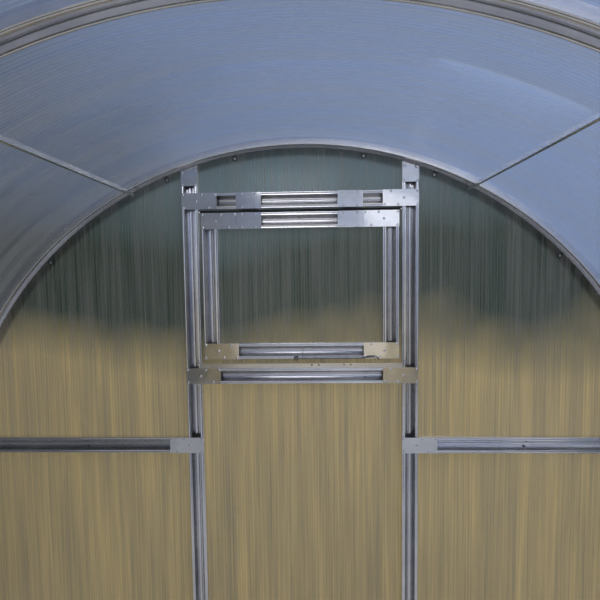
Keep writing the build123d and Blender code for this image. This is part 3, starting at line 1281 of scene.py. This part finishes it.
class PlateKind(Enum):
    """Kinds of joint plate by their rivets.

    A rivet is (share of the length from the post's end, share of the height from the bottom).
    """

    CORNER = ((0.04, 0.9), (0.57, 0.9), (0.95, 0.9), (0.05, 0.1), (0.78, 0.1), (0.42, 0.5))
    FLIPPED = ((0.04, 0.1), (0.57, 0.1), (0.95, 0.1), (0.05, 0.9), (0.78, 0.9), (0.42, 0.5))
    HINGE = ((0.22, 0.9), (0.77, 0.9), (0.22, 0.1), (0.77, 0.1))
    POST_TOP = ((0.1, 0.1), (0.9, 0.1), (0.1, 0.72), (0.88, 0.88))
    BASE = ((0.08, 0.9), (0.35, 0.9), (0.65, 0.9), (0.92, 0.9), (0.2, 0.1), (0.8, 0.1))


@dataclass(frozen=True)
class Plate:
    """A joint plate: its kind, its post end and far end from the middle, its top and height."""

    kind: PlateKind
    start: float
    stop: float
    top: float
    height: float = HOUSE.channel_width

    def rivets(self, side: int) -> list[Point]:
        """Places of its rivets on X and Z, on the left or the right.

        Args:
            side: -1 on the left, 1 on the right.

        Returns:
            The places.
        """
        length, bottom = self.stop - self.start, self.top - self.height
        return [
            (side * (self.start + length * along), bottom + self.height * up)
            for along, up in self.kind.value
        ]


@dataclass
class JointPlates:
    """The flat plates over the lips and the rivets that hold them.

    A blind rivet is a low domed flange with the hollow of its broken mandrel.
    """

    finishes: Finishes
    rivet: Fastener = Fastener(
        0.005, 0.0007, ((0.0012, 0.0012), (0.0014, 0.0006), (0.0006, -0.001))
    )
    hinge_plate: Point = (0.1525, 0.2525)
    post_plate_top: float = 2.0
    post_plate_height: float = 0.074
    rivet_inset: float = 0.0065
    base_shares: tuple[float, ...] = (-0.9, -0.45, 0.45, 0.9)
    base_margin: float = 0.006

    def build(self) -> None:
        """Dress the plates and add their rivets, a piece for each end and one for the sides."""
        for group in ("back_frame", "front_frame", "vent", "door", "base"):
            dress_node(f"{group}_plates", self.finishes.plate)
        groups = {end.label: self.end_places(end) for end in End}
        groups["base"] = self.side_places()
        for name, places in groups.items():
            hand_in(self.rivet.set_at(places), f"{name}_plate_rivets", self.finishes.rivet)

    def end_places(self, end: End) -> list[Matrix]:
        """Places of the rivets of one end frame and of the leaf in it.

        Args:
            end: Which end.

        Returns:
            A matrix for each rivet.
        """
        places = []
        for side in (-1, 1):
            for plate in self.plates(end, side):
                for x, z in plate.rivets(side):
                    places.append(standing((x, end.value * HOUSE.plate_y, z), end.inwards))
        return places

    def plates(self, end: End, side: int) -> list[Plate]:
        """The joint plates of one side of an end frame and of the leaf in it.

        Args:
            end: Which end.
            side: -1 on the left, 1 on the right.

        Returns:
            The plates.
        """
        width, length = HOUSE.channel_width, HOUSE.plate_length
        outer, inner, leaf = HOUSE.post_outer, HOUSE.post_inner, HOUSE.leaf_side
        frame_top, side_top = top_of(f"{end.label}_top_rail"), top_of(f"{end.label}_side_rails")
        leaf_name = "vent" if end is End.BACK else "door"
        leaf_low, leaf_top = bottom_of(f"{leaf_name}_stiles"), top_of(f"{leaf_name}_stiles")
        base = length - width
        # The same plate turned over, so its rivets stand upside down on the right
        handed = PlateKind.CORNER if side < 0 else PlateKind.FLIPPED
        plates = [
            Plate(handed, outer, outer - length, frame_top),
            Plate(PlateKind.CORNER, inner, inner + length, side_top),
            Plate(PlateKind.BASE, inner - base, outer + base, width),
            Plate(PlateKind.CORNER, leaf, leaf - length, leaf_top),
            Plate(PlateKind.FLIPPED, leaf, leaf - length, leaf_low + width),
            Plate(PlateKind.POST_TOP, outer, inner, self.post_plate_top, self.post_plate_height),
        ]
        if end is End.FRONT:
            return plates + [Plate(PlateKind.CORNER, leaf, leaf - length, side_top)]
        return plates + [
            Plate(handed, outer, outer - length, top_of("back_sill_rail")),
            Plate(PlateKind.HINGE, *self.hinge_plate, frame_top),
            Plate(PlateKind.HINGE, *self.hinge_plate, leaf_top),
        ]

    def side_places(self) -> list[Matrix]:
        """Places of the rivets in the base plates at the feet of the arches.

        Returns:
            A matrix for each rivet.
        """
        low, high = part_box("base_plates")
        inner = HOUSE.inner_radius - HOUSE.plate
        reach = HOUSE.plate_length - HOUSE.half_width
        places = []
        for side in (-1, 1):
            for arch_y in HOUSE.arch_places():
                for share in self.base_shares:
                    y = arch_y + share * reach
                    if low.y + self.base_margin < y < high.y - self.base_margin:
                        for z in (self.rivet_inset, HOUSE.channel_width - self.rivet_inset):
                            places.append(standing((side * inner, y, z), Vector((-side, 0, 0))))
        return places


@dataclass
class Sheets:
    """The twin wall sheets of the roof, the ends, the vent and the door."""

    finishes: Finishes

    def build(self) -> None:
        """Dress every sheet."""
        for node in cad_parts:
            if node.startswith("roof_sheet"):
                dress_node(node, self.finishes.roof)
            elif "_sheet" in node and not node.endswith("clips"):
                dress_node(node, self.finishes.ends)


@dataclass
class SheetClips:
    """Clips between the end arches and the end sheets, each with a bolt and a rubber ring."""

    finishes: Finishes
    angles: tuple[float, ...] = (10.2, 21.6, 45.1)
    bolt_drop: float = 0.011
    base: float = 0.0012
    ring_inner: float = 0.0068
    ring_outer: tuple[Point, ...] = ((0.0096, 0), (0.0103, 0.0008), (0.0096, 0.0018))
    bolt: Fastener = Fastener(0.0062, 0.0012, ((0.0018, 0.0), (0.0003, 0.0026), (0.001, 0.0005)))

    def build(self) -> None:
        """Dress the clips and add their bolts and rings."""
        ring = self.ring()
        reach = HOUSE.inner_radius - self.bolt_drop
        for end in End:
            dress_node(f"{end.label}_sheet_clips", self.finishes.fitting)
            face = end.value * (HOUSE.face_y - self.base)
            angles = [side * angle for angle in self.angles for side in (-1, 1)]
            places = [(HOUSE.on_arch(angle, reach, face), angle) for angle in angles]
            rings = scatter(ring, [standing(place, end.inwards) for place, _ in places])
            hand_in(rings, f"{end.label}_clip_rings", self.finishes.rubber)
            turned = [standing(place, end.inwards, math.radians(turn)) for place, turn in places]
            bolts = self.bolt.set_at(turned)
            hand_in(bolts, f"{end.label}_clip_bolts", self.finishes.fitting)
        remove(ring)

    def ring(self) -> Piece:
        """Model the rubber ring: a square section spun round, with a rounded outer edge.

        Returns:
            The ring.
        """
        foot = (self.ring_inner, 0)
        section = [foot, *self.ring_outer, (self.ring_inner, self.ring_outer[-1][1]), foot]
        piece = begin_chain([Vector((x, 0, z)) for x, z in section])
        with editing(piece):
            bpy.ops.mesh.spin(steps=20, angle=2 * math.pi, center=(0, 0, 0), axis=(0, 0, 1))
        recalculate(piece)
        smooth(piece)
        return piece


@dataclass
class Purlins:
    """Small plain channels under the arches, their ends cut to a point."""

    finishes: Finishes
    width: float = 0.008
    depth: float = 0.02
    wall: float = 0.001
    bend: float = 0.0014
    angle: float = 27.2
    overrun: float = 0.003
    slant: float = 0.028
    clearance: float = 0.0003

    def build(self) -> None:
        """Roll one purlin and lay it four times."""
        master = self.rolled()
        side_rise = top_of("back_side_rails") - HOUSE.half_width - HOUSE.leg_height
        side_angle = 90 - math.degrees(math.asin(side_rise / HOUSE.inner_radius))
        for node, angle in (("upper_purlins", self.angle), ("side_purlins", side_angle)):
            piece = scatter(master, [self.place(-angle, 1), self.place(angle, -1)])
            smooth(piece)
            hand_in(piece, node + "_rolled", self.finishes.rolled, node, slot=CHANNEL_SLOT)
        remove(master)

    def rolled(self) -> Piece:
        """Roll a purlin along y, its web on z = 0, and cut its ends on the slant.

        Returns:
            The purlin.
        """
        skin, tip = self.wall / 2, HOUSE.end_arch_y + self.overrun
        side = self.width / 2 - skin
        section = [(-side, self.depth), (-side, skin), (side, skin), (side, self.depth)]
        piece = fold(
            [Vector((x, -tip, z)) for x, z in section],
            ALONG_Y * (2 * tip),
            self.wall,
            self.bend,
            lambda one, other: one.z < skin + TOUCH and one.x == other.x,
        )
        for end in End:
            cut_off(piece, (0, end.value * tip, 0), (0, end.value * self.depth, self.slant))
        lay_strip(piece, lambda co: (co.x + co.z, co.y))
        return piece

    def place(self, angle: float, way: int) -> Matrix:
        """Place a purlin under the arches.

        Args:
            angle: Angle from the crown, in degrees.
            way: 1, or -1 to turn it end for end.

        Returns:
            The matrix.
        """
        seat = math.sqrt((HOUSE.inner_radius - self.clearance) ** 2 - (self.width / 2) ** 2)
        foot = HOUSE.on_arch(angle, seat - self.depth, 0)
        return axes_at(foot, -way * ALONG_Y, HOUSE.outwards(angle))


@dataclass
class SillStrip:
    """Angle strip on the rail under the vent, drilled for the stay."""

    finishes: Finishes
    wall: float = 0.0012
    bend: float = 0.0015
    hole: float = 0.009
    drill: float = 0.01
    hole_drop: float = 0.006
    hole_places: tuple[float, ...] = (0.043, 0.071, 0.173, 0.201)

    def build(self) -> None:
        """Fold the strip and drill it."""
        low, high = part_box("sill_strip")
        skin = self.wall / 2
        face = low.y + skin
        section = [(face, high.z), (face, low.z + skin), (high.y, low.z + skin)]
        piece = fold(
            [Vector((low.x, y, z)) for y, z in section],
            ALONG_X * (high.x - low.x),
            self.wall,
            self.bend,
            lambda one, other: one.y == other.y == face and max(one.z, other.z) < high.z - skin,
        )
        drill = begin_cylinder(24, self.hole / 2, self.drill)
        places = [(x, face, high.z - self.hole_drop) for x in self.hole_places]
        cutter = scatter(drill, [standing(place, End.BACK.inwards) for place in places])
        apply_modifier(piece, "BOOLEAN", operation="DIFFERENCE", object=cutter, solver="EXACT")
        remove(drill, cutter)
        lay_strip(piece, lambda co: (co.y + co.z, co.x))
        smooth(piece)
        rolled = self.finishes.rolled
        hand_in(piece, "sill_strip_folded", rolled, "sill_strip", slot=CHANNEL_SLOT)


@dataclass
class VentStay:
    """Wire stay of the vent: an eye on a pin, a long rod, and a doubled end bent down.

    The wires' points are (place on X, rise from the stay's line). Each of the thin upright
    wires is (place on X, rise of its foot, rise of its tip).
    """

    finishes: Finishes
    wire: float = 0.0022
    thin_wire: float = 0.0009
    eye: float = 0.0076
    eye_x: float = -0.02
    eye_squash: float = 0.0006
    head: Fastener = Fastener(0.0034, 0.0012, ((0.0008, 0.0008), (0.0012, 0.0)))
    head_inset: float = 0.0022
    second_pin_x: float = 0.0155
    second_pin_gap: float = 0.001
    shank: float = 0.0018
    shank_edge: float = 0.0008
    plate_gap: float = 0.0028
    height_in_rail: float = 0.003
    bend: float = 0.006
    second_wire: float = 0.00154
    second_bend: float = 0.004
    pin_gap: float = 0.0016
    rod: tuple[Point, ...] = ((0.24, 0), (0.268, 0.007), (0.3, 0.0078), (0.3165, -0.009))
    second: tuple[Point, ...] = (
        (0.225, 0.0012),
        (0.25, -0.001),
        (0.27, 0.0022),
        (0.295, 0.0022),
        (0.3, -0.006),
    )
    pins: tuple[Place, ...] = (
        (0.057, -0.006, 0.0085),
        (0.187, -0.006, 0.0085),
        (0.007, 0.0, 0.0395),
    )

    def build(self) -> None:
        """Bend the stay and set its pin."""
        low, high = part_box("vent_hook")
        y, x = HOUSE.plate_y - self.plate_gap, self.eye_x
        z = bottom_of("vent_stiles") + self.height_in_rail
        wires = (
            ([(x + self.eye, 0), *self.rod], self.wire, self.bend),
            (self.second, self.second_wire, self.second_bend),
        )
        pieces = [
            bent_wire([Vector((place, y, z + rise)) for place, rise in line], radius, bend)
            for line, radius, bend in wires
        ]
        pieces.append(self.ring(Vector((x, y, z))))
        for place, foot, tip in self.pins:
            ends = [Vector((place, y - self.pin_gap, z + rise)) for rise in (foot, tip)]
            pieces.append(bent_wire(ends, self.thin_wire, 0))
        head_y = low.y + self.head_inset
        places = ((x, head_y, z), (self.second_pin_x, y - self.second_pin_gap, z))
        pieces.append(self.head.set_at([standing(place, End.BACK.inwards) for place in places]))
        half = self.shank
        shank = begin_block((x - half, head_y, z - half), (x + half, high.y, z + half))
        apply_modifier(shank, "BEVEL", width=self.shank_edge, segments=2)
        pieces.append(shank)
        hand_in(join_pieces(pieces), "vent_stay", self.finishes.wire, "vent_hook")

    def ring(self, centre: Vector) -> Piece:
        """Bend the eye of the stay round its pin.

        Args:
            centre: Middle of the eye.

        Returns:
            The eye.
        """
        pick()
        bpy.ops.mesh.primitive_torus_add(
            major_segments=24,
            minor_segments=8,
            location=centre,
            rotation=(math.pi / 2, 0, 0),
            major_radius=self.eye,
            minor_radius=self.wire,
        )
        bpy.ops.object.transform_apply()
        piece = bpy.context.object
        with editing(piece):
            # The eye is flattened a little where the wire meets it
            select(piece, Element.VERT, lambda place: place.x > centre.x + self.eye * 0.6)
            bpy.ops.transform.translate(value=(-self.eye_squash, 0, 0))
        smooth(piece, 80)
        return piece


@dataclass
class ButtHinges:
    """Butt hinges outside: two leaves, five knuckles round a pin, and countersunk screws."""

    finishes: Finishes
    length: float = 0.06
    leaf: float = 0.03
    thickness: float = 0.002
    knuckle: float = 0.004
    knuckle_count: int = 5
    knuckle_gap: float = 0.0005
    pin: float = 0.00248
    pin_inset: float = 0.0002
    leaf_gap: float = 0.0012
    corner: float = 0.004
    edge: float = 0.0004
    pin_edge: float = 0.0006
    spacing: float = 0.408
    screw: Fastener = Fastener(0.0036, 0.0004, ((0.0005, 0.0002), (0.0016, 0.0), (0.0004, -0.0006)))
    screw_places: tuple[Point, ...] = ((-0.021, 0.0215), (0.0, 0.0135), (0.021, 0.0215))

    def build(self) -> None:
        """Model one hinge and hang the vent and the door with copies."""
        hinge = self.hinge()
        low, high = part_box("vent_hinges")
        line_z = (low.z + high.z) / 2
        sides = [(side * self.spacing / 2, HOUSE.sheet_y, line_z) for side in (-1, 1)]
        low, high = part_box("door_hinges")
        bottom, top = low.z + self.length / 2, high.z - self.length / 2
        levels = (bottom, (bottom + top) / 2, top)
        line = [((low.x + high.x) / 2, -HOUSE.sheet_y, level) for level in levels]
        groups = {
            "vent_hinges": [axes_at(place, UP, ALONG_Y) for place in sides],
            "door_hinges": [axes_at(place, -ALONG_X, -ALONG_Y) for place in line],
        }
        for node, places in groups.items():
            hand_in(scatter(hinge, places), node + "_folded", self.finishes.fitting, node)
        remove(hinge)

    def hinge(self) -> Piece:
        """Model a hinge with its pin along x, its leaves along y and its back on z = 0.

        Returns:
            The hinge.
        """
        half = self.length / 2
        pieces = [self.leaf_plate(side) for side in (-1, 1)]
        step = self.length / self.knuckle_count
        for number in range(self.knuckle_count):
            start = -half + number * step + self.knuckle_gap / 2
            stop = start + step - self.knuckle_gap
            pieces.append(self.roll(start, stop, self.knuckle, self.edge))
        reach = half - self.pin_inset
        pieces.append(self.roll(-reach, reach, self.pin, self.pin_edge))
        places = [(x, side * y, self.thickness) for side in (-1, 1) for x, y in self.screw_places]
        pieces.append(self.screw.set_at([Matrix.Translation(place) for place in places]))
        return join_pieces(pieces)

    def leaf_plate(self, side: int) -> Piece:
        """Cut a leaf with two round corners.

        Args:
            side: 1 for the leaf on the side of +y, -1 for the other.

        Returns:
            The leaf.
        """
        half = self.length / 2
        near, far = sorted((side * self.leaf_gap, side * self.leaf))
        piece = begin_block((-half, near, 0), (half, far, self.thickness))
        with editing(piece):
            select(
                piece,
                Element.EDGE,
                lambda one, other: abs(one.z - other.z) > 1e-4 and abs(one.y) > self.leaf - TOUCH,
            )
            bpy.ops.mesh.bevel(offset=self.corner, segments=5, affect="EDGES")
        apply_modifier(piece, "BEVEL", width=self.edge, segments=2, limit_method="ANGLE")
        smooth(piece)
        return piece

    def roll(self, start: float, stop: float, radius: float, edge: float) -> Piece:
        """Model a knuckle or the pin between two places on x.

        Args:
            start: Its one end.
            stop: Its other end.
            radius: Its radius.
            edge: Width of its bevel.

        Returns:
            The piece.
        """
        middle = ((start + stop) / 2, 0, self.knuckle)
        piece = begin_cylinder(20, radius, stop - start, middle, (0, math.pi / 2, 0))
        apply_modifier(piece, "BEVEL", width=edge, segments=2, limit_method="ANGLE")
        smooth(piece, 40)
        return piece


@dataclass
class JointSeals:
    """Rubber strips behind the joints of the sheets at the hinges of the vent and the door."""

    finishes: Finishes
    width: float = 0.011
    height: float = 0.0022
    edge: float = 0.0008
    shoulder: float = 0.0011
    bead: float = 0.0042
    crest: float = 0.00252
    side_gap: float = 0.001
    joint_gap: float = 0.0005

    def build(self) -> None:
        """Lay a strip over each joint."""
        reach = HOUSE.post_inner - self.side_gap
        line_z = (top_of("vent_hinges") + bottom_of("vent_hinges")) / 2
        for end in End:
            start = (-reach, end.value * HOUSE.face_y, line_z)
            pieces = [self.strip(start, ALONG_X, end.inwards, 2 * reach)]
            if end is End.FRONT:
                low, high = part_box("door_hinges")
                bottom = bottom_of("door_stiles")
                start = ((low.x + high.x) / 2, -HOUSE.face_y, bottom)
                length = line_z - self.width / 2 - self.joint_gap - bottom
                pieces.append(self.strip(start, UP, end.inwards, length))
            hand_in(join_pieces(pieces), f"{end.label}_joint_seal", self.finishes.rubber)

    def strip(self, start: Place, along: Vector, outwards: Vector, length: float) -> Piece:
        """Extrude a strip with a bead along its middle.

        Args:
            start: Middle of its back at one end.
            along: Direction of its length.
            outwards: Direction that its bead faces.
            length: Its length.

        Returns:
            The piece.
        """
        half, bead, crest = self.width / 2, self.bead / 2, self.crest / 2
        section = [(-half, 0), (half, 0), (half, self.edge), (bead, self.shoulder)]
        section += [(crest, self.height), (-crest, self.height), (-bead, self.shoulder)]
        section += [(-half, self.edge), (-half, 0)]
        piece = begin_chain([Vector((x, 0, z)) for x, z in section])
        with editing(piece):
            bpy.ops.mesh.remove_doubles(threshold=1e-6)
            bpy.ops.mesh.edge_face_add()
            extrude(ALONG_Y * length)
        recalculate(piece)
        place_piece(piece, axes_at(start, along, outwards))
        smooth(piece, 35)
        return piece


@dataclass
class DoorHandle:
    """Flat bar bent to a grip, with a screw in each foot."""

    finishes: Finishes
    length: float = 0.18
    foot: float = 0.022
    slant: float = 0.01
    thickness: float = 0.003
    stand_off: float = 0.022
    bend: float = 0.006
    edge: float = 0.0006
    screw: Fastener = Fastener(
        0.0045, 0.0008, ((0.0006, 0.0007), (0.0022, 0.0004), (0.0003, -0.0008))
    )
    screw_reach: float = 0.012

    def build(self) -> None:
        """Bend the bar and screw it on."""
        low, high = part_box("door_handle")
        middle, face = (low.z + high.z) / 2, -HOUSE.sheet_y
        skin, half = self.thickness / 2, self.length / 2
        upper = [
            (skin, half + self.foot),
            (skin, half - skin),
            (self.stand_off - skin, half - self.slant - skin),
        ]
        line = upper + [(out, -z) for out, z in reversed(upper)]
        piece = fold(
            [Vector((low.x, face - out, middle + z)) for out, z in line],
            ALONG_X * (high.x - low.x),
            self.thickness,
            self.bend,
            lambda one, other: abs(one.x - other.x) > 0.01 and abs(one.z - middle) < half + skin,
            segments=5,
        )
        apply_modifier(piece, "BEVEL", width=self.edge, segments=2, limit_method="ANGLE")
        smooth(piece)
        x = (low.x + high.x) / 2
        heights = [middle + side * (half + self.screw_reach) for side in (-1, 1)]
        places = [standing((x, face - self.thickness, z), -ALONG_Y) for z in heights]
        handle = join_pieces([piece, self.screw.set_at(places)])
        hand_in(handle, "door_handle_bent", self.finishes.fitting, "door_handle")


@dataclass
class SheetScrews:
    """Hexagon screws with rubber washers that hold the roof and end sheets from outside."""

    finishes: Finishes
    roof_angles: tuple[float, ...] = (8, 24, 40, 56, 72)
    leg_heights: tuple[float, ...] = (0.42, 0.14)
    rail_places: tuple[float, ...] = (0.62, 0.92, 1.22)
    post_heights: tuple[float, ...] = (0.3, 0.6, 1.05, 1.35, 1.62, 1.9)
    end_angles: tuple[float, ...] = (25, 38, 52, 66, 80)
    middle_places: tuple[float, ...] = (-0.3, 0.0, 0.3)
    spacing: float = 0.3
    arch_inset: float = 0.012
    stile_inset: float = 0.01
    post_offset: float = 0.018
    sill_drop: float = 0.045
    washer_height: float = 0.0012
    head: Fastener = Fastener(0.0048, 0.0004, ((0.0011, 0.0001), (0.0, 0.0013), (0.0009, 0.0003)))
    washer: Fastener = Fastener(0.0075, 0.0006, ((0.0012, 0.0005), (0.001, 0.0)), sides=16)

    def build(self) -> None:
        """Set screws with washers over every arch and end frame."""
        groups = {"roof": self.roof_places()}
        for end in End:
            groups[end.label + "_end"] = self.end_places(end)
        for name, places in groups.items():
            washers = self.washer.set_at([standing(place, outwards) for place, outwards in places])
            hand_in(washers, f"{name}_screw_washers", self.finishes.rubber)
            raised = [
                standing(place + self.washer_height * outwards, outwards)
                for place, outwards in places
            ]
            hand_in(self.head.set_at(raised), f"{name}_screw_heads", self.finishes.fitting)

    def roof_places(self) -> list[tuple[Vector, Vector]]:
        """Places and directions of the screws along the arches; the lap has none on its legs.

        Returns:
            Pairs of a place and the direction outwards.
        """
        places = []
        for number, arch_y in enumerate(HOUSE.arch_places()):
            on_lap = number == HOUSE.bay_count // 2
            radius = HOUSE.arch_radius + HOUSE.sheet * (2 if on_lap else 1)
            for side in (-1, 1):
                for angle in self.roof_angles:
                    turn = side * angle
                    places.append((HOUSE.on_arch(turn, radius, arch_y), HOUSE.outwards(turn)))
                for height in () if on_lap else self.leg_heights:
                    places.append((Vector((side * radius, arch_y, height)), side * ALONG_X))
        return places

    def end_places(self, end: End) -> list[tuple[Vector, Vector]]:
        """Places and directions of the screws of an end.

        Args:
            end: Which end.

        Returns:
            Pairs of a place and the direction outwards.
        """
        half = HOUSE.half_width
        side_z = top_of(f"{end.label}_side_rails") - half
        arch_reach = HOUSE.arch_radius - self.arch_inset
        points = []
        for side in (-1, 1):
            for x in self.rail_places:
                points += [(side * x, side_z), (side * x, half)]
            for z in self.post_heights:
                points.append((side * (HOUSE.post_x + self.post_offset), z))
            for angle in self.end_angles:
                place = HOUSE.on_arch(angle, arch_reach, 0)
                points.append((side * place.x, place.z))
            points.append((side * arch_reach, self.post_heights[0]))
        leaf = "vent" if end is End.BACK else "door"
        leaf_low, leaf_top = bottom_of(f"{leaf}_stiles"), top_of(f"{leaf}_stiles")
        for x in self.middle_places:
            points += [(x, leaf_low + half), (x, leaf_top - half)]
            points.append((x, top_of(f"{end.label}_top_rail") - half))
            if end is End.BACK:
                points += [(x, top_of("back_sill_rail") - self.sill_drop), (x, half)]
        stile_x = HOUSE.leaf_side - half - self.stile_inset
        steps = max(1, round((leaf_top - leaf_low) / self.spacing) - 1)
        for number in range(1, steps + 1):
            z = leaf_low + (leaf_top - leaf_low) * number / (steps + 1)
            points += [(-stile_x, z), (stile_x, z)]
        return [(Vector((x, end.value * HOUSE.sheet_y, z)), -end.inwards) for x, z in points]


@dataclass
class FrameBolts:
    """The few bolts and screw tips that show on the inside of the back end."""

    finishes: Finishes
    bolt: Fastener = Fastener(0.0058, 0.0035, ((0.001, 0.0008), (0.0018, 0.0)), sides=6)
    bolt_x: float = 0.419
    bolt_z: float = 1.2125
    tip: Fastener = Fastener(0.0026, 0.004, ((0.0009, 0.003), (0.001, 0.002)), sides=8)
    wall: float = 0.0012
    tip_points: tuple[Point, ...] = (
        (0.2617, 1.1669),
        (0.2616, 1.144),
        (-0.0015, 1.798),
        (-0.0015, 1.774),
        (0.4439, 1.9081),
        (-0.4495, 1.9196),
        (-0.9188, 0.8757),
        (-0.9198, 0.854),
        (-0.909, 0.8519),
        (0.9158, 0.875),
        (0.9033, 0.854),
        (0.9101, 0.854),
    )

    def build(self) -> None:
        """Set a bolt by each end of the sill strip, and tips in the webs."""
        bolt_places = [(side * self.bolt_x, HOUSE.lip_y, self.bolt_z) for side in (-1, 1)]
        tip_places = [(x, HOUSE.face_y - self.wall, z) for x, z in self.tip_points]
        bolts, tips = [
            head.set_at([standing(place, End.BACK.inwards) for place in places])
            for head, places in ((self.bolt, bolt_places), (self.tip, tip_places))
        ]
        hand_in(bolts, "back_frame_bolts", self.finishes.fitting)
        # The screw tips wear the dark wire finish as painted shadow
        hand_in(tips, "back_screw_tips", self.finishes.wire)


@dataclass(frozen=True)
class Lamp:
    """A soft square lamp: where it hangs, what it points at, its side and its power in watts."""

    name: str
    place: Place
    target: Place
    size: float
    power: float

    def build(self) -> None:
        """Hang the lamp."""
        data = bpy.data.lights.new(self.name, "AREA")
        data.size = self.size
        data.energy = self.power
        lamp = bpy.data.objects.new(self.name, data)
        lamp.visible_camera = False
        bpy.context.scene.collection.objects.link(lamp)
        aim = (Vector(self.target) - Vector(self.place)).to_track_quat("-Z", "Y")
        lamp.matrix_world = Matrix.Translation(self.place) @ aim.to_matrix().to_4x4()


@dataclass
class Studio:
    """The floor, the lamps, the world and the camera that stands where the photo was taken."""

    eye: Place = (0.0649, 0.192, 1.5814)
    yaw: float = 2.1
    pitch: float = -3.61
    roll: float = 0.747
    lens: float = 27.06
    sensor: float = 36
    white_from: float = 2.8
    white_beyond: float = 7.0
    sky_light: float = 0.6
    lamps: tuple[Lamp, ...] = (
        Lamp("key", (3.8, -1.0, 5.6), (0.2, 0.8, 1.0), 4.0, 290),
        Lamp("front", (1.5, -4.4, 3.3), (0.1, 1.8, 1.4), 3.8, 210),
        Lamp("fill", (-4.6, -3.0, 3.6), (0, 0.4, 1.0), 4.0, 40),
        Lamp("crown", (-0.05, 1.56, 2.03), (-0.05, 1.66, 0.0), 0.4, 1.5),
        Lamp("room", (0.0, -1.84, 1.35), (0.0, 0.0, 1.35), 1.9, 4.2),
        Lamp("glare", (0.52, 1.25, 1.95), (0.5, 2.0, 1.88), 0.34, 0.22),
        Lamp("side", (1.36, 1.2, 0.6), (1.0, 2.0, 0.88), 0.3, 0.3),
        Lamp("back", (0.8, 6.2, 3.4), (0, 1.9, 1.2), 3.5, 140),
    )

    def build(self) -> None:
        """Build the stage."""
        self.floor()
        self.world()
        self.camera()
        for lamp in self.lamps:
            lamp.build()
        bpy.context.scene.view_settings.view_transform = "Standard"

    def floor(self) -> None:
        """Lay the plain pale floor, which keeps the object's shadow."""
        pick()
        bpy.ops.mesh.primitive_plane_add(size=80, location=(0, 0, 0))
        floor = bpy.context.object
        floor.name = "floor"
        material, add, place = begin_material("pale_painted_floor")
        grain = add("TexNoise", {"Vector": place, "Scale": 3.0})
        colour = add("MixRGB", [grain, linear("E6E6E6"), linear("E2E2E3")])
        paint = add("BsdfPrincipled", {"Base Color": colour, "Roughness": 0.9})
        # Far from the house the floor is as white as the background, so no edge of it shows
        glow = add("Emission", {"Color": (1, 1, 1, 1), "Strength": 1.0})
        far = add("VectorMath", [place], operation="LENGTH").outputs["Value"]
        limits = [far, self.white_from, self.white_beyond]
        distance = add("MapRange", limits, interpolation_type="SMOOTHSTEP")
        share = add("Math", [distance, self.seen(add)], operation="MULTIPLY")
        add("OutputMaterial", [add("MixShader", [share, paint, glow])])
        floor.data.materials.append(material)

    def seen(self, add: AddNode) -> bpy.types.Node:
        """1 where a surface is seen, mirrored or looked through, 0 where it only gives light.

        Args:
            add: Adds a node to the material or the world.

        Returns:
            The node with that share.
        """
        ray = add("LightPath").outputs
        through = [ray["Is Camera Ray"], ray["Is Transmission Ray"]]
        seen = add("Math", through, operation="MAXIMUM")
        return add("Math", [seen, ray["Is Glossy Ray"]], operation="MAXIMUM")

    def world(self) -> None:
        """Fill the world with soft light, white where it is seen, mirrored or looked through."""
        world = bpy.data.worlds.new("studio")
        bpy.context.scene.world = world
        add = open_nodes(world)
        strength = add("MapRange", [self.seen(add), 0.0, 1.0, self.sky_light])
        light = add("Background", {"Color": (1, 1, 1, 1), "Strength": strength})
        add("OutputWorld", [light])

    def camera(self) -> None:
        """Stand the camera where the photo was taken from."""
        data = bpy.data.cameras.new("photo_camera")
        data.sensor_width = self.sensor
        data.lens = self.lens
        data.clip_end = 200
        camera = bpy.data.objects.new("photo_camera", data)
        bpy.context.scene.collection.objects.link(camera)
        turn = (
            Matrix.Rotation(math.radians(self.yaw), 3, "Z")
            @ Matrix.Rotation(math.radians(self.pitch), 3, "X")
            @ Matrix.Rotation(math.radians(self.roll), 3, "Y")
        )
        right, forward, up = turn.col
        aim = Matrix((right, up, -forward)).transposed().to_4x4()
        camera.matrix_world = Matrix.Translation(self.eye) @ aim
        bpy.context.scene.camera = camera


def main() -> None:
    """Build the house, its fittings and the studio."""
    logging.basicConfig(level=logging.INFO, format="%(message)s")
    finishes = Finishes()
    for assembly in (
        FrameWork,
        JointPlates,
        Sheets,
        SheetClips,
        Purlins,
        SillStrip,
        VentStay,
        ButtHinges,
        JointSeals,
        DoorHandle,
        SheetScrews,
        FrameBolts,
    ):
        assembly(finishes).build()
    Studio().build()


if __name__ == "__main__":
    main()
